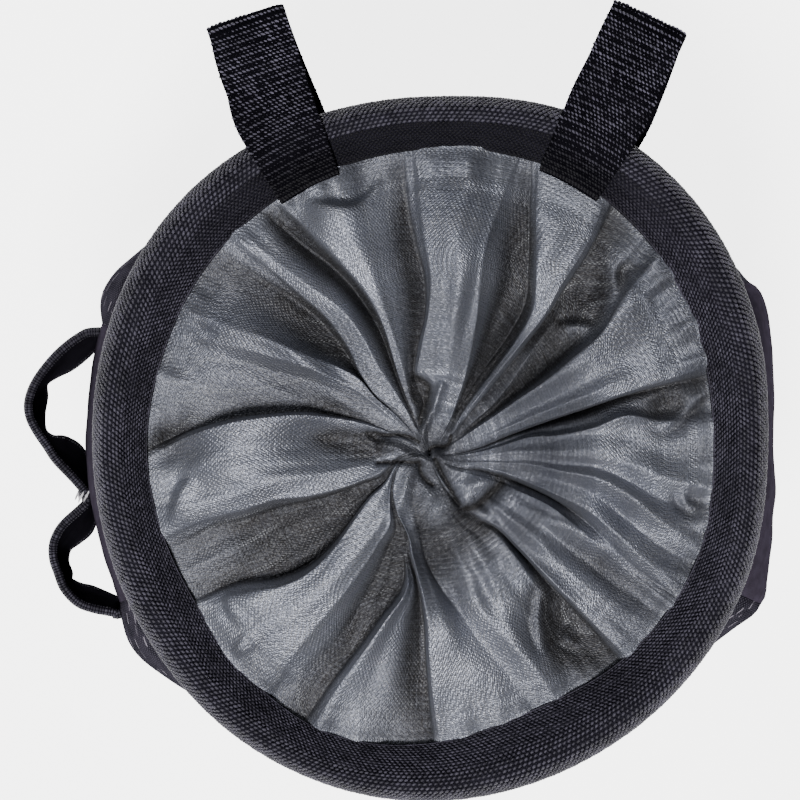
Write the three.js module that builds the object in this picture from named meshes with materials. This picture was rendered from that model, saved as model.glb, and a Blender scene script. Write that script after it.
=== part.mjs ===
import * as THREE from 'three';

// A climbing chalk bag, standing on its base with its mouth drawn shut.
// The origin is the middle of the base, +Z up, +Y towards the belt loops, +X away from the brush strap.
// Bearings are degrees from +X, turning towards +Y.

// Driving dimensions, in millimetres
const bagHeight = 150; // floor to the crest of the rim
const wallThickness = 2; // panel cloth with its padding
const baseThickness = 3;
const baseEdgeRound = 1;
const rimRadius = 67.4; // outer edge of the rim, where its outline's share is 1
const bodySpread = 2.6; // body past the rim's outer edge
const bodyRadius = rimRadius + bodySpread; // body at its fullest, where its outline's share is 1
const rimWidth = 12; // across the rim's section, seen from above
const rimDepth = 13;
const collarCloth = 2.4; // gathered cloth of the mouth, measured straight down
const collarFoldDepth = 9; // crest to valley where the folds are deepest
const collarSeamDrop = 0.66 * rimDepth; // collar's seam below the crest of the rim
const hubOffsetX = -0.6; // where the collar draws together
const hubOffsetY = -1.9;
const webbingWidth = 15;
const webbingThickness = 1.6;
const loopReach = 22; // belt loop past the rim's outer edge
const loopFoldRadius = 1.2; // inside of the belt loop where it turns back
const loopSeatDrop = rimDepth + 6; // where the lower layer meets the body, below the crest
const loopTail = 8; // lower layer sewn down the body
const loopTailAside = 1.7; // lower layer to the right of the upper one
const stubLength = 1.6; // upper layer past the rim's inner edge
const stubLift = 0.9; // end of the stub above the collar's seam
const strapWidth = 20; // brush strap, up the body
const strapThickness = 1.8;
const strapStandoff = 10.4; // brush strap's widest loop off the body
const strapDrop = 30; // brush strap's top edge below the crest of the rim
const seamGap = 0.3; // between pieces that are sewn together

// Fineness of the round pieces
const baseSides = 48;
const rimStations = 56;
const strapStations = 44;
const loopFoldSteps = 5;
const loopTailShares = [0, 0.33, 0.67, 1];
const loopColumns = [-0.5, -0.25, 0, 0.25, 0.5]; // across the webbing

// Outline of the rim, as shares of rimRadius
const rimOutline = [
  { bearing: 0, share: 0.95 },
  { bearing: 22, share: 0.983 },
  { bearing: 45, share: 1.018 },
  { bearing: 66, share: 1.024 },
  { bearing: 90, share: 0.99 },
  { bearing: 135, share: 0.998 },
  { bearing: 180, share: 0.965 },
  { bearing: 210, share: 0.973 },
  { bearing: 240, share: 1.0 },
  { bearing: 266, share: 1.01 },
  { bearing: 300, share: 0.99 },
  { bearing: 336, share: 0.968 },
];

// Width of the rim that shows inside its outline, as shares of rimWidth
const rimBand = [
  { bearing: 0, share: 0.82 },
  { bearing: 25, share: 0.92 },
  { bearing: 60, share: 0.92 },
  { bearing: 90, share: 0.8 },
  { bearing: 130, share: 0.94 },
  { bearing: 158, share: 0.93 },
  { bearing: 182, share: 0.82 },
  { bearing: 213, share: 0.9 },
  { bearing: 232, share: 0.82 },
  { bearing: 250, share: 0.73 },
  { bearing: 270, share: 0.88 },
  { bearing: 290, share: 1.04 },
  { bearing: 312, share: 0.92 },
  { bearing: 335, share: 0.81 },
];

// Section of the rim: inset from its outer edge over its width, drop below its crest over its depth
const rimCrown = [
  { inset: 0.0, drop: 0.5 },
  { inset: 0.06, drop: 0.2 },
  { inset: 0.25, drop: 0.0 },
  { inset: 0.5, drop: 0.06 },
  { inset: 0.75, drop: 0.27 },
  { inset: 1.0, drop: 0.6 },
];
const rimUnderside = [
  { inset: 0.96, drop: 0.76 },
  { inset: 0.7, drop: 0.9 },
  { inset: 0.38, drop: 1.0 },
  { inset: 0.1, drop: 0.86 },
];

const rimSeatInset = 0.25; // where the body's outer face meets the underside of the rim

// Outline of the body at its shoulder, as shares of bodyRadius: seams stand out, side panels are flat
const bodyOutline = [
  { bearing: 0, share: 0.985 },
  { bearing: 24, share: 1.028 },
  { bearing: 40, share: 0.985 },
  { bearing: 90, share: 0.958 },
  { bearing: 138, share: 0.98 },
  { bearing: 154, share: 1.045 },
  { bearing: 162, share: 1.0 },
  { bearing: 183, share: 0.983 },
  { bearing: 205, share: 1.0 },
  { bearing: 214, share: 1.045 },
  { bearing: 232, share: 0.985 },
  { bearing: 270, share: 0.958 },
  { bearing: 318, share: 0.98 },
  { bearing: 335, share: 1.048 },
];

// Body from its base to its top edge: girth over bodyRadius, how much of the outline shows,
// and how far it is drawn in to its seat under the rim
const bodyProfile = [
  { height: 0.0, girth: 0.9, outline: 0.25, tuck: 0 },
  { height: 0.03, girth: 0.93, outline: 0.3, tuck: 0 },
  { height: 0.1, girth: 0.955, outline: 0.4, tuck: 0 },
  { height: 0.35, girth: 0.985, outline: 0.55, tuck: 0 },
  { height: 0.65, girth: 1.0, outline: 0.8, tuck: 0 },
  { height: 0.85, girth: 0.998, outline: 1.0, tuck: 0 },
  { height: 0.94, girth: 0.985, outline: 0.95, tuck: 0.3 },
  { height: 1.0, girth: 0.95, outline: 0.8, tuck: 1.0 },
];

// Panels of the body, between the upright seams
const bodyPanels = [
  { name: 'side_panel_right', from: -26, to: 27, columns: 9, color: 0x4f4a55 },
  { name: 'back_panel', from: 27, to: 160, columns: 19, color: 0x2f2c36 },
  { name: 'side_panel_left', from: 160, to: 207, columns: 9, color: 0x4f4a55 },
  { name: 'front_panel', from: 207, to: 334, columns: 19, color: 0x2f2c36 },
];
const panelLevels = [0, 0.03, 0.1, 0.22, 0.38, 0.54, 0.7, 0.8, 0.88, 0.94, 0.97, 1];

// Folds of the drawn-up collar: bearing of each crest (height above 0) and valley (below 0)
// close to the hub, halfway out and at the rim
const collarFolds = [
  { hub: 26, middle: 28, rim: 32, height: 0.9 },
  { hub: 45, middle: 46, rim: 50, height: -0.8 },
  { hub: 49, middle: 51, rim: 60, height: 0.4 },
  { hub: 57, middle: 62, rim: 69, height: -1 },
  { hub: 76, middle: 81, rim: 84, height: 1 },
  { hub: 95, middle: 93, rim: 96, height: -0.8 },
  { hub: 106, middle: 106, rim: 112, height: 0.6 },
  { hub: 113, middle: 113, rim: 124, height: -1 },
  { hub: 122, middle: 122, rim: 131, height: 0.6 },
  { hub: 129, middle: 130, rim: 141, height: -0.7 },
  { hub: 137, middle: 143, rim: 157, height: 0.7 },
  { hub: 150, middle: 163, rim: 180, height: -0.9 },
  { hub: 158, middle: 168, rim: 186, height: 1 },
  { hub: 177, middle: 180, rim: 191, height: 0.4 },
  { hub: 196, middle: 190, rim: 196, height: 0.9 },
  { hub: 210, middle: 219, rim: 212, height: -1 },
  { hub: 220, middle: 231, rim: 224, height: 1 },
  { hub: 238, middle: 248, rim: 240, height: -0.7 },
  { hub: 241, middle: 256, rim: 248, height: 0.4 },
  { hub: 243, middle: 265, rim: 266, height: -0.9 },
  { hub: 248, middle: 269, rim: 272, height: 1 },
  { hub: 264, middle: 280, rim: 282, height: -0.6 },
  { hub: 280, middle: 287, rim: 295, height: 0.7 },
  { hub: 304, middle: 309, rim: 309, height: -0.8 },
  { hub: 316, middle: 316, rim: 318, height: 0.8 },
  { hub: 340, middle: 337, rim: 329, height: -0.7 },
  { hub: 346, middle: 344, rim: 334, height: 0.8 },
  { hub: 351, middle: 349, rim: 338, height: 0.3 },
  { hub: 355, middle: 354, rim: 343, height: 0.7 },
  { hub: 358, middle: 357, rim: 350, height: 0.3 },
  { hub: 364, middle: 363, rim: 357, height: 0.9 },
  { hub: 369, middle: 373, rim: 372, height: -1 },
];

// Collar from its hub to the rim: how deep its folds are, over collarFoldDepth, and how far it
// hangs below the rim's crest, over collarSeamDrop
const collarProfile = [
  { reach: 0.0, folds: 0.0, drop: 1.22 },
  { reach: 0.06, folds: 0.2, drop: 0.95 },
  { reach: 0.14, folds: 0.55, drop: 0.77 },
  { reach: 0.28, folds: 0.95, drop: 0.65 },
  { reach: 0.45, folds: 1.0, drop: 0.63 },
  { reach: 0.62, folds: 0.9, drop: 0.67 },
  { reach: 0.78, folds: 0.62, drop: 0.77 },
  { reach: 0.9, folds: 0.32, drop: 0.9 },
  { reach: 1.0, folds: 0.08, drop: 1.0 },
];
const foldReachHub = 0.2; // where the fold table's hub and middle bearings hold
const foldReachMiddle = 0.52;
const stepsPerFlank = 3;

// Belt loops: where each crosses the rim and which way it points
const beltLoops = [
  { name: 'belt_loop_left', bearing: 115, heading: 108.1 },
  { name: 'belt_loop_right', bearing: 62, heading: 64.8 },
];

// Brush strap round the left side: how far it stands off the body, over strapStandoff
const strapPath = [
  { bearing: 160, standoff: 0 },
  { bearing: 162.4, standoff: 0.21 },
  { bearing: 165.2, standoff: 0.53 },
  { bearing: 168.2, standoff: 0.81 },
  { bearing: 171.7, standoff: 0.98 },
  { bearing: 174.6, standoff: 1 },
  { bearing: 177.8, standoff: 0.92 },
  { bearing: 180.5, standoff: 0.68 },
  { bearing: 183.3, standoff: 0.37 },
  { bearing: 186.2, standoff: 0.07 },
  { bearing: 188.9, standoff: 0 },
  { bearing: 190.9, standoff: 0.09 },
  { bearing: 192.2, standoff: 0.42 },
  { bearing: 193.6, standoff: 0.66 },
  { bearing: 195.6, standoff: 0.78 },
  { bearing: 198.2, standoff: 0.82 },
  { bearing: 200.9, standoff: 0.77 },
  { bearing: 203.5, standoff: 0.56 },
  { bearing: 205.4, standoff: 0.24 },
  { bearing: 207.4, standoff: 0 },
];

const radians = THREE.MathUtils.degToRad;

// Smooth value of one column of a table between its rows; a round table repeats after 360 degrees
function lookUp(table, key, column, at, round = false) {
  const { clamp, euclideanModulo } = THREE.MathUtils;
  const rows = round ? unrolled(table, key) : table;
  const x = round ? euclideanModulo(at, 360) : clamp(at, rows[0][key], rows.at(-1)[key]);
  let i = 1;
  while (i < rows.length - 1 && rows[i][key] < x) i += 1;
  const before = rows[i - 1];
  const after = rows[i];
  const span = after[key] - before[key];
  const slope = (a, b) => (a && b ? (b[column] - a[column]) / (b[key] - a[key]) : 0);
  const slopeIn = rows[i - 2] ? slope(rows[i - 2], after) : slope(before, after);
  const slopeOut = rows[i + 1] ? slope(before, rows[i + 1]) : slope(before, after);
  const t = (x - before[key]) / span;
  const rise = t * t * (3 - 2 * t);
  return (
    before[column] * (1 - rise) +
    after[column] * rise +
    slopeIn * span * t * (1 - t) * (1 - t) -
    slopeOut * span * t * t * (1 - t)
  );
}

function unrolled(table, key) {
  const shifted = (rows, turn) => rows.map((row) => ({ ...row, [key]: row[key] + turn }));
  return [...shifted(table.slice(-2), -360), ...table, ...shifted(table.slice(0, 2), 360)];
}

function polar(bearing, radius, z) {
  return new THREE.Vector3(radius * Math.cos(radians(bearing)), radius * Math.sin(radians(bearing)), z);
}

// Closed solid from rings of points: each ring joins the next, and so does the last to the first
// or, with caps, each end ring is shut across its two halves
function skinned(rings, capped) {
  const size = rings[0].length;
  const positions = rings.flat().flatMap((point) => point.toArray());
  const faces = [];
  const at = (i, j) => (i % rings.length) * size + (j % size);
  const quad = (a, b, c, d) => faces.push(a, b, c, a, c, d);
  for (let i = 0; i < rings.length - (capped ? 1 : 0); i += 1) {
    for (let j = 0; j < size; j += 1) quad(at(i, j), at(i, j + 1), at(i + 1, j + 1), at(i + 1, j));
  }
  if (capped) {
    const last = rings.length - 1;
    for (let j = 0; j < size / 2 - 1; j += 1) {
      const k = size - 1 - j;
      quad(at(0, j), at(0, k), at(0, k - 1), at(0, j + 1));
      quad(at(last, j), at(last, j + 1), at(last, k - 1), at(last, k));
    }
  }
  return geometryOf(positions, faces);
}

// Closed solid from rings of points that start and end at a single middle point
function lidded(first, rings, last) {
  const size = rings[0].length;
  const positions = [first, ...rings.flat(), last].flatMap((point) => point.toArray());
  const faces = [];
  const at = (i, j) => 1 + i * size + (j % size);
  const end = rings.length * size + 1;
  for (let j = 0; j < size; j += 1) {
    faces.push(0, at(0, j + 1), at(0, j));
    faces.push(end, at(rings.length - 1, j), at(rings.length - 1, j + 1));
    for (let i = 0; i < rings.length - 1; i += 1) {
      faces.push(at(i, j), at(i, j + 1), at(i + 1, j + 1), at(i, j), at(i + 1, j + 1), at(i + 1, j));
    }
  }
  return geometryOf(positions, faces);
}

// Turns the faces outward if the rings ran the other way
function geometryOf(positions, faces) {
  const corner = (n) => new THREE.Vector3().fromArray(positions, 3 * n);
  let volume = 0;
  for (let n = 0; n < faces.length; n += 3) {
    const [a, b, c] = [corner(faces[n]), corner(faces[n + 1]), corner(faces[n + 2])];
    volume += a.dot(b.cross(c));
  }
  const index = volume < 0 ? faces.toReversed() : faces;
  const geometry = new THREE.BufferGeometry();
  geometry.setAttribute('position', new THREE.Float32BufferAttribute(positions, 3));
  geometry.setIndex(index);
  geometry.computeVertexNormals();
  return geometry;
}

function cloth(color, roughness) {
  return new THREE.MeshStandardMaterial({ color, roughness, metalness: 0 });
}

const webbingCloth = cloth(0x17161b, 0.75);
const bodyTop = bagHeight - rimDepth - seamGap;
const bodyBottom = baseThickness + seamGap;

function bodyReach(bearing, z) {
  const height = z / bodyTop;
  const outline = lookUp(bodyOutline, 'bearing', 'share', bearing, true) - 1;
  const girth = lookUp(bodyProfile, 'height', 'girth', height);
  const full = bodyRadius * girth * (1 + outline * lookUp(bodyProfile, 'height', 'outline', height));
  const seat = THREE.MathUtils.lerp(rimReach(bearing), rimInnerReach(bearing), rimSeatInset);
  return THREE.MathUtils.lerp(full, seat, lookUp(bodyProfile, 'height', 'tuck', height));
}

function rimReach(bearing) {
  return rimRadius * lookUp(rimOutline, 'bearing', 'share', bearing, true);
}

function rimInnerReach(bearing) {
  return rimReach(bearing) - rimWidth * lookUp(rimBand, 'bearing', 'share', bearing, true);
}

function basePanel() {
  const edge = [];
  for (let n = 0; n < baseSides; n += 1) {
    const bearing = (360 * n) / baseSides;
    edge.push(polar(bearing, bodyReach(bearing, 0) - baseEdgeRound, 0));
  }
  const outline = new THREE.Shape(edge.map((point) => new THREE.Vector2(point.x, point.y)));
  const geometry = new THREE.ExtrudeGeometry(outline, {
    depth: baseThickness - 2 * baseEdgeRound,
    bevelThickness: baseEdgeRound,
    bevelSize: baseEdgeRound,
    bevelSegments: 2,
  });
  geometry.translate(0, 0, baseEdgeRound);
  const mesh = new THREE.Mesh(geometry, cloth(0x2a2830, 0.85));
  mesh.name = 'base_panel';
  return mesh;
}

function bodyPanel({ name, from, to, columns, color }) {
  const rings = panelLevels.map((level) => {
    const z = bodyBottom + (bodyTop - bodyBottom) * level;
    const halfGap = THREE.MathUtils.radToDeg(seamGap / 2 / bodyRadius);
    const outer = [];
    const inner = [];
    for (let n = 0; n <= columns; n += 1) {
      const bearing = THREE.MathUtils.lerp(from + halfGap, to - halfGap, n / columns);
      const reach = bodyReach(bearing, z);
      outer.push(polar(bearing, reach, z));
      inner.push(polar(bearing, reach - wallThickness, z));
    }
    return [...outer, ...inner.reverse()];
  });
  const mesh = new THREE.Mesh(skinned(rings, true), cloth(color, 0.8));
  mesh.name = name;
  return mesh;
}

function rimBinding() {
  const rings = [];
  for (let n = 0; n < rimStations; n += 1) {
    const bearing = (360 * n) / rimStations;
    const width = rimReach(bearing) - rimInnerReach(bearing);
    const section = [...rimCrown, ...rimUnderside];
    rings.push(
      section.map(({ inset, drop }) =>
        polar(bearing, rimReach(bearing) - inset * width, bagHeight - drop * rimDepth),
      ),
    );
  }
  const mesh = new THREE.Mesh(skinned(rings, false), cloth(0x1c1b21, 0.8));
  mesh.name = 'rim_binding';
  return mesh;
}

// Bearing of a fold at a reach from the hub, on a curve through its three bearings
function foldBearing({ hub, middle, rim }, reach) {
  const [a, b, c] = [foldReachHub, foldReachMiddle, 1];
  const x = Math.max(reach, foldReachHub / 2);
  return (
    (hub * (x - b) * (x - c)) / ((a - b) * (a - c)) +
    (middle * (x - a) * (x - c)) / ((b - a) * (b - c)) +
    (rim * (x - a) * (x - b)) / ((c - a) * (c - b))
  );
}

function closureCollar() {
  const reaches = collarProfile.slice(1).map((row) => row.reach);
  const ringAt = (reach, under) => {
    const folds = lookUp(collarProfile, 'reach', 'folds', reach);
    const drop = lookUp(collarProfile, 'reach', 'drop', reach);
    return collarFolds.flatMap((fold, n) => {
      const next = collarFolds[(n + 1) % collarFolds.length];
      const turn = n + 1 === collarFolds.length ? 360 : 0;
      const start = foldBearing(fold, reach);
      const end = foldBearing(next, reach) + turn;
      return Array.from({ length: stepsPerFlank }, (_, step) => {
        const share = step / stepsPerFlank;
        const ease = (1 - Math.cos(Math.PI * share)) / 2;
        const bearing = THREE.MathUtils.lerp(start, end, share);
        const height = THREE.MathUtils.lerp(fold.height, next.height, ease);
        const z = bagHeight - drop * collarSeamDrop + (height * folds * collarFoldDepth) / 2;
        const edge = polar(bearing, rimInnerReach(bearing) - seamGap, 0);
        const hub = new THREE.Vector3(hubOffsetX, hubOffsetY, 0);
        return hub.lerp(edge, reach).setZ(under ? z - collarCloth : z);
      });
    });
  };
  const hubTop = bagHeight - collarProfile[0].drop * collarSeamDrop;
  const rings = [
    ...reaches.map((reach) => ringAt(reach, true)),
    ...reaches.toReversed().map((reach) => ringAt(reach, false)),
  ];
  const geometry = lidded(
    new THREE.Vector3(hubOffsetX, hubOffsetY, hubTop - collarCloth),
    rings,
    new THREE.Vector3(hubOffsetX, hubOffsetY, hubTop),
  );
  const mesh = new THREE.Mesh(geometry, cloth(0x7c838f, 0.5));
  mesh.name = 'closure_collar';
  return mesh;
}

// Line that a belt loop's webbing lies on, from its stub inside the rim to its tail down the body:
// out is the distance past the rim's outer edge, up the height above the rim's crest
function loopContact(bearing) {
  const band = rimReach(bearing) - rimInnerReach(bearing);
  const line = [{ out: -band - stubLength, up: -collarSeamDrop + stubLift }];
  for (const { inset, drop } of rimCrown.slice(2).reverse()) {
    line.push({ out: -inset * band, up: -drop * rimDepth });
  }
  line.push({ out: 0, up: 0 }, { out: loopReach / 2, up: 0 });
  for (let n = 0; n <= loopFoldSteps; n += 1) {
    const angle = (Math.PI * n) / loopFoldSteps;
    const fold = loopFoldRadius * Math.sin(angle);
    line.push({ out: loopReach - 2 * loopFoldRadius + fold, up: -loopFoldRadius * (1 - Math.cos(angle)) });
  }
  for (const share of loopTailShares) {
    const drop = loopSeatDrop + share * loopTail;
    const out = bodyReach(bearing, bagHeight - drop) - rimReach(bearing);
    line.push({ out, up: -drop, aside: loopTailAside, sewn: true });
  }
  return line;
}

// The line moved sideways by a distance, each leg staying parallel to where it was
function besideLine(line, distance) {
  const away = line.slice(1).map((point, n) => {
    const along = new THREE.Vector2(point.out - line[n].out, point.up - line[n].up).normalize();
    return new THREE.Vector2(-along.y, along.x);
  });
  return line.map((point, n) => {
    const before = away[Math.max(n - 1, 0)];
    const after = away[Math.min(n, away.length - 1)];
    const middle = before.clone().add(after).normalize();
    const shift = distance / middle.dot(after);
    return { ...point, out: point.out + middle.x * shift, up: point.up + middle.y * shift };
  });
}

function beltLoop({ name, bearing, heading }) {
  const foot = polar(bearing, rimReach(bearing), 0);
  const ahead = polar(heading, 1, 0);
  const side = polar(heading - 90, 1, 0);
  const place = (column, { out, up, aside = 0, sewn }) => {
    const across = column + aside;
    const turned = bearing - THREE.MathUtils.radToDeg(across / rimReach(bearing));
    const onRim = polar(turned, rimReach(turned) + out, bagHeight + up);
    const straight = foot.clone().addScaledVector(ahead, out).addScaledVector(side, across);
    const leaving = sewn ? 0 : THREE.MathUtils.smoothstep(out, 0, loopReach / 2);
    return onRim.lerp(straight.setZ(bagHeight + up), leaving);
  };
  const layers = loopColumns.map((share) => {
    const across = share * webbingWidth;
    const turned = bearing - THREE.MathUtils.radToDeg(across / rimReach(bearing));
    const contact = loopContact(turned);
    return [seamGap, seamGap + webbingThickness].map((lift) =>
      besideLine(contact, lift).map((point) => place(across, point)),
    );
  });
  const rings = layers[0][0].map((_, n) => [
    ...layers.map(([, top]) => top[n]),
    ...layers.toReversed().map(([under]) => under[n]),
  ]);
  const mesh = new THREE.Mesh(skinned(rings, true), webbingCloth);
  mesh.name = name;
  return mesh;
}

function brushStrap() {
  const top = bagHeight - strapDrop;
  const levels = [top, top - strapWidth / 2, top - strapWidth];
  const lines = levels.map((z) => {
    const points = strapPath.map(({ bearing, standoff }) => {
      const off = seamGap + strapThickness / 2 + standoff * strapStandoff;
      return polar(bearing, bodyReach(bearing, z) + off, z);
    });
    return new THREE.CatmullRomCurve3(points, false, 'centripetal');
  });
  const rings = Array.from({ length: strapStations + 1 }, (_, n) => {
    const offsets = (side) =>
      lines.map((curve) => {
        const tangent = curve.getTangent(n / strapStations);
        const across = new THREE.Vector3(tangent.y, -tangent.x, 0).normalize();
        return curve.getPoint(n / strapStations).addScaledVector(across, (side * strapThickness) / 2);
      });
    return [...offsets(1), ...offsets(-1).reverse()];
  });
  const mesh = new THREE.Mesh(skinned(rings, true), webbingCloth);
  mesh.name = 'brush_strap';
  return mesh;
}

const chalkBag = new THREE.Group();
chalkBag.add(basePanel());
for (const panel of bodyPanels) chalkBag.add(bodyPanel(panel));
chalkBag.add(rimBinding());
chalkBag.add(closureCollar());
for (const loop of beltLoops) chalkBag.add(beltLoop(loop));
chalkBag.add(brushStrap());

export default chalkBag;
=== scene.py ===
import math

import bmesh
import bpy
import numpy as np
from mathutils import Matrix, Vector


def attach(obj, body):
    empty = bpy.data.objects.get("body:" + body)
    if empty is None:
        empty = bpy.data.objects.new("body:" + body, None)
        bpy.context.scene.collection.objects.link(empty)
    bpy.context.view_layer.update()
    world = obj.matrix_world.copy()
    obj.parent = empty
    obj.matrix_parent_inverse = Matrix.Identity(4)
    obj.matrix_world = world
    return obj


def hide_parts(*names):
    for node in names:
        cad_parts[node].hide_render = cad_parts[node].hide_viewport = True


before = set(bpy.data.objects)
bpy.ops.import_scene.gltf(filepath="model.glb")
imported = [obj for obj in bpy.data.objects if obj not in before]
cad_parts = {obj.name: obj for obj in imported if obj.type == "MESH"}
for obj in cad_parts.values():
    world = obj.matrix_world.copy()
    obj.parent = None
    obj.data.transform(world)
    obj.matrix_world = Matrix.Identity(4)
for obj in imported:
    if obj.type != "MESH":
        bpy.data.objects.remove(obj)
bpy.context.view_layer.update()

mm = 0.001


def curveThrough(keys, values, at, around=0.0):
    # smooth value between the keys; it repeats after `around` if that is given
    keys, values, at = (np.asarray(x, float) for x in (keys, values, at))
    if around:
        keys = np.concatenate([keys[-2:] - around, keys, keys[:2] + around])
        values = np.concatenate([values[-2:], values, values[:2]])
        at = np.mod(at, around)
    else:
        at = np.clip(at, keys[0], keys[-1])
    slope = np.empty_like(values)
    slope[1:-1] = (values[2:] - values[:-2]) / (keys[2:] - keys[:-2])
    slope[0] = (values[1] - values[0]) / (keys[1] - keys[0])
    slope[-1] = (values[-1] - values[-2]) / (keys[-1] - keys[-2])
    after = np.clip(np.searchsorted(keys, at), 1, len(keys) - 1)
    before = after - 1
    span = keys[after] - keys[before]
    t = (at - keys[before]) / span
    rise = t * t * (3 - 2 * t)
    return (
        values[before] * (1 - rise)
        + values[after] * rise
        + slope[before] * span * t * (1 - t) ** 2
        - slope[after] * span * t * t * (1 - t)
    )


def fromTable(table, column, at, around=0.0):
    keys = [row[0] for row in table]
    return curveThrough(keys, [row[column] for row in table], at, around)


def mixed(a, b, share):
    return a + (b - a) * share


def eased(x, low, high):
    t = np.clip((np.asarray(x, float) - low) / (high - low), 0, 1)
    return t * t * (3 - 2 * t)


def unit(vectors):
    return vectors / np.linalg.norm(vectors, axis=-1, keepdims=True)


def runAlong(line):
    # length from the first point of a line to each of its points
    return np.concatenate([[0], np.cumsum(np.linalg.norm(np.diff(line, axis=0), axis=1))])


def evenly(line, run, count):
    # a line's values at equal steps of its run, and those steps
    at = np.linspace(0, run[-1], count)
    return np.stack([np.interp(at, run, column) for column in line.T], axis=-1), at


def softened(line, times):
    line = line.copy()
    for _ in range(times):
        line[1:-1] = (line[:-2] + 2 * line[1:-1] + line[2:]) / 4
    return line


def polar(bearing, reach, z):
    angle = np.radians(bearing)
    x, y, z = np.broadcast_arrays(reach * np.cos(angle), reach * np.sin(angle), z)
    return np.stack([x, y, z], axis=-1)


def softNoise(seed, x, y, wrapX=0):
    # smooth noise from -1 to 1 on a lattice of random values, repeating in x after wrapX cells
    cells = np.random.default_rng(seed).uniform(-1, 1, (64, 64))
    x, y = np.broadcast_arrays(np.asarray(x, float), np.asarray(y, float))
    column, row = np.floor(x).astype(int), np.floor(y).astype(int)
    tx, ty = x - column, y - row
    tx, ty = tx * tx * (3 - 2 * tx), ty * ty * (3 - 2 * ty)
    wrap = wrapX or 64
    left, right = np.mod(column, wrap) % 64, np.mod(column + 1, wrap) % 64
    low, high = np.mod(row, 64), np.mod(row + 1, 64)
    bottom = mixed(cells[left, low], cells[right, low], tx)
    top = mixed(cells[left, high], cells[right, high], tx)
    return mixed(bottom, top, ty)


def meshFrom(name, points, faces, cornerUv=None, smooth=True):
    # points in millimetres, faces as rows of point numbers, cornerUv one pair for each face corner
    mesh = bpy.data.meshes.new(name)
    mesh.from_pydata((np.asarray(points).reshape(-1, 3) * mm).tolist(), [], np.asarray(faces).tolist())
    if cornerUv is not None:
        layer = mesh.uv_layers.new(name="cloth")
        layer.data.foreach_set("uv", np.asarray(cornerUv, np.float32).reshape(-1))
    mesh.polygons.foreach_set("use_smooth", [smooth] * len(mesh.polygons))
    mesh.update()
    made = bpy.data.objects.new(name, mesh)
    bpy.context.scene.collection.objects.link(made)
    return made


def gridFaces(rows, columns, first=0, closeRows=False, closeColumns=False):
    i, j = np.mgrid[0 : rows - (not closeRows), 0 : columns - (not closeColumns)]
    k, m = (i + 1) % rows, (j + 1) % columns
    corners = [i * columns + j, k * columns + j, k * columns + m, i * columns + m]
    return np.stack(corners, axis=-1).reshape(-1, 4) + first


def gridUv(u, v):
    # one pair for each corner of each face of a grid whose u and v have a value at each point
    uv = np.stack([u, v], axis=-1)
    return np.stack([uv[:-1, :-1], uv[1:, :-1], uv[1:, 1:], uv[:-1, 1:]], axis=2).reshape(-1, 4, 2)


def turnedOutward(made, caps=()):
    # caps are rings of point numbers that get a face each
    work = bmesh.new()
    work.from_mesh(made.data)
    work.verts.ensure_lookup_table()
    for ring in caps:
        work.faces.new([work.verts[n] for n in ring])
    bmesh.ops.recalc_face_normals(work, faces=work.faces)
    work.to_mesh(made.data)
    work.free()
    return made


def shellFrom(name, outer, inner, u, v):
    # closed cloth with two faces and four edges
    rows, columns = outer.shape[:2]
    count = rows * columns
    face = gridFaces(rows, columns)
    faces = [face, face[:, ::-1] + count]
    uv = [gridUv(u, v), gridUv(u, v)[:, ::-1]]
    number = np.arange(count).reshape(rows, columns)
    uvAt = np.stack([u, v], axis=-1)
    for edge in (np.s_[0, :], np.s_[-1, :], np.s_[:, 0], np.s_[:, -1]):
        line, lineUv = number[edge], uvAt[edge]
        faces.append(np.stack([line[:-1], line[1:], line[1:] + count, line[:-1] + count], axis=-1))
        uv.append(np.stack([lineUv[:-1], lineUv[1:], lineUv[1:], lineUv[:-1]], axis=1))
    points = np.concatenate([outer.reshape(-1, 3), inner.reshape(-1, 3)])
    made = meshFrom(name, points, np.concatenate(faces), np.concatenate(uv))
    return turnedOutward(made)


def dressed(piece, node, material):
    piece.data.materials.clear()
    piece.data.materials.append(material)
    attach(piece, "root")
    if node:
        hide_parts(node)
    return piece


class Wire:
    # one output of a node; arithmetic on it adds Math nodes
    def __init__(self, board, socket):
        self.board, self.socket = board, socket

    def math(self, operation, *values):
        sockets = dict(enumerate(values))
        return self.board.node("ShaderNodeMath", {"operation": operation}, sockets)

    def __add__(self, other):
        return self.math("ADD", self, other)

    def __sub__(self, other):
        return self.math("SUBTRACT", self, other)

    def __rsub__(self, other):
        return self.math("SUBTRACT", other, self)

    def __mul__(self, other):
        return self.math("MULTIPLY", self, other)

    def __truediv__(self, other):
        return self.math("DIVIDE", self, other)

    def __mod__(self, other):
        return self.math("FLOORED_MODULO", self, other)

    __radd__ = __add__
    __rmul__ = __mul__

    def wave(self, pitch):
        # sine that repeats each pitch
        return self.math("SINE", self * (2 * math.pi / pitch))

    def abs(self):
        return self.math("ABSOLUTE", self)

    def floor(self):
        return self.math("FLOOR", self)

    def below(self, other):
        return self.math("LESS_THAN", self, other)

    def least(self, other):
        return self.math("MINIMUM", self, other)

    def most(self, other):
        return self.math("MAXIMUM", self, other)

    def ramp(self, low, high):
        # 0 below low, 1 above high
        settings = {"interpolation_type": "SMOOTHSTEP"}
        return self.board.node("ShaderNodeMapRange", settings, {0: self, 1: low, 2: high})


def brighter(colour, times):
    return tuple(c * times for c in colour[:3]) + (1,)


class Board:
    # a node tree, and the one way to add a node to it
    def __init__(self, tree):
        self.tree = tree

    def node(self, kind, settings=None, sockets=None, output=0):
        made = self.tree.nodes.new(kind)
        for name, value in (settings or {}).items():
            setattr(made, name, value)
        for key, value in (sockets or {}).items():
            if isinstance(value, Wire):
                self.tree.links.new(value.socket, made.inputs[key])
            else:
                made.inputs[key].default_value = value
        return Wire(self, made.outputs[output])


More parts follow.
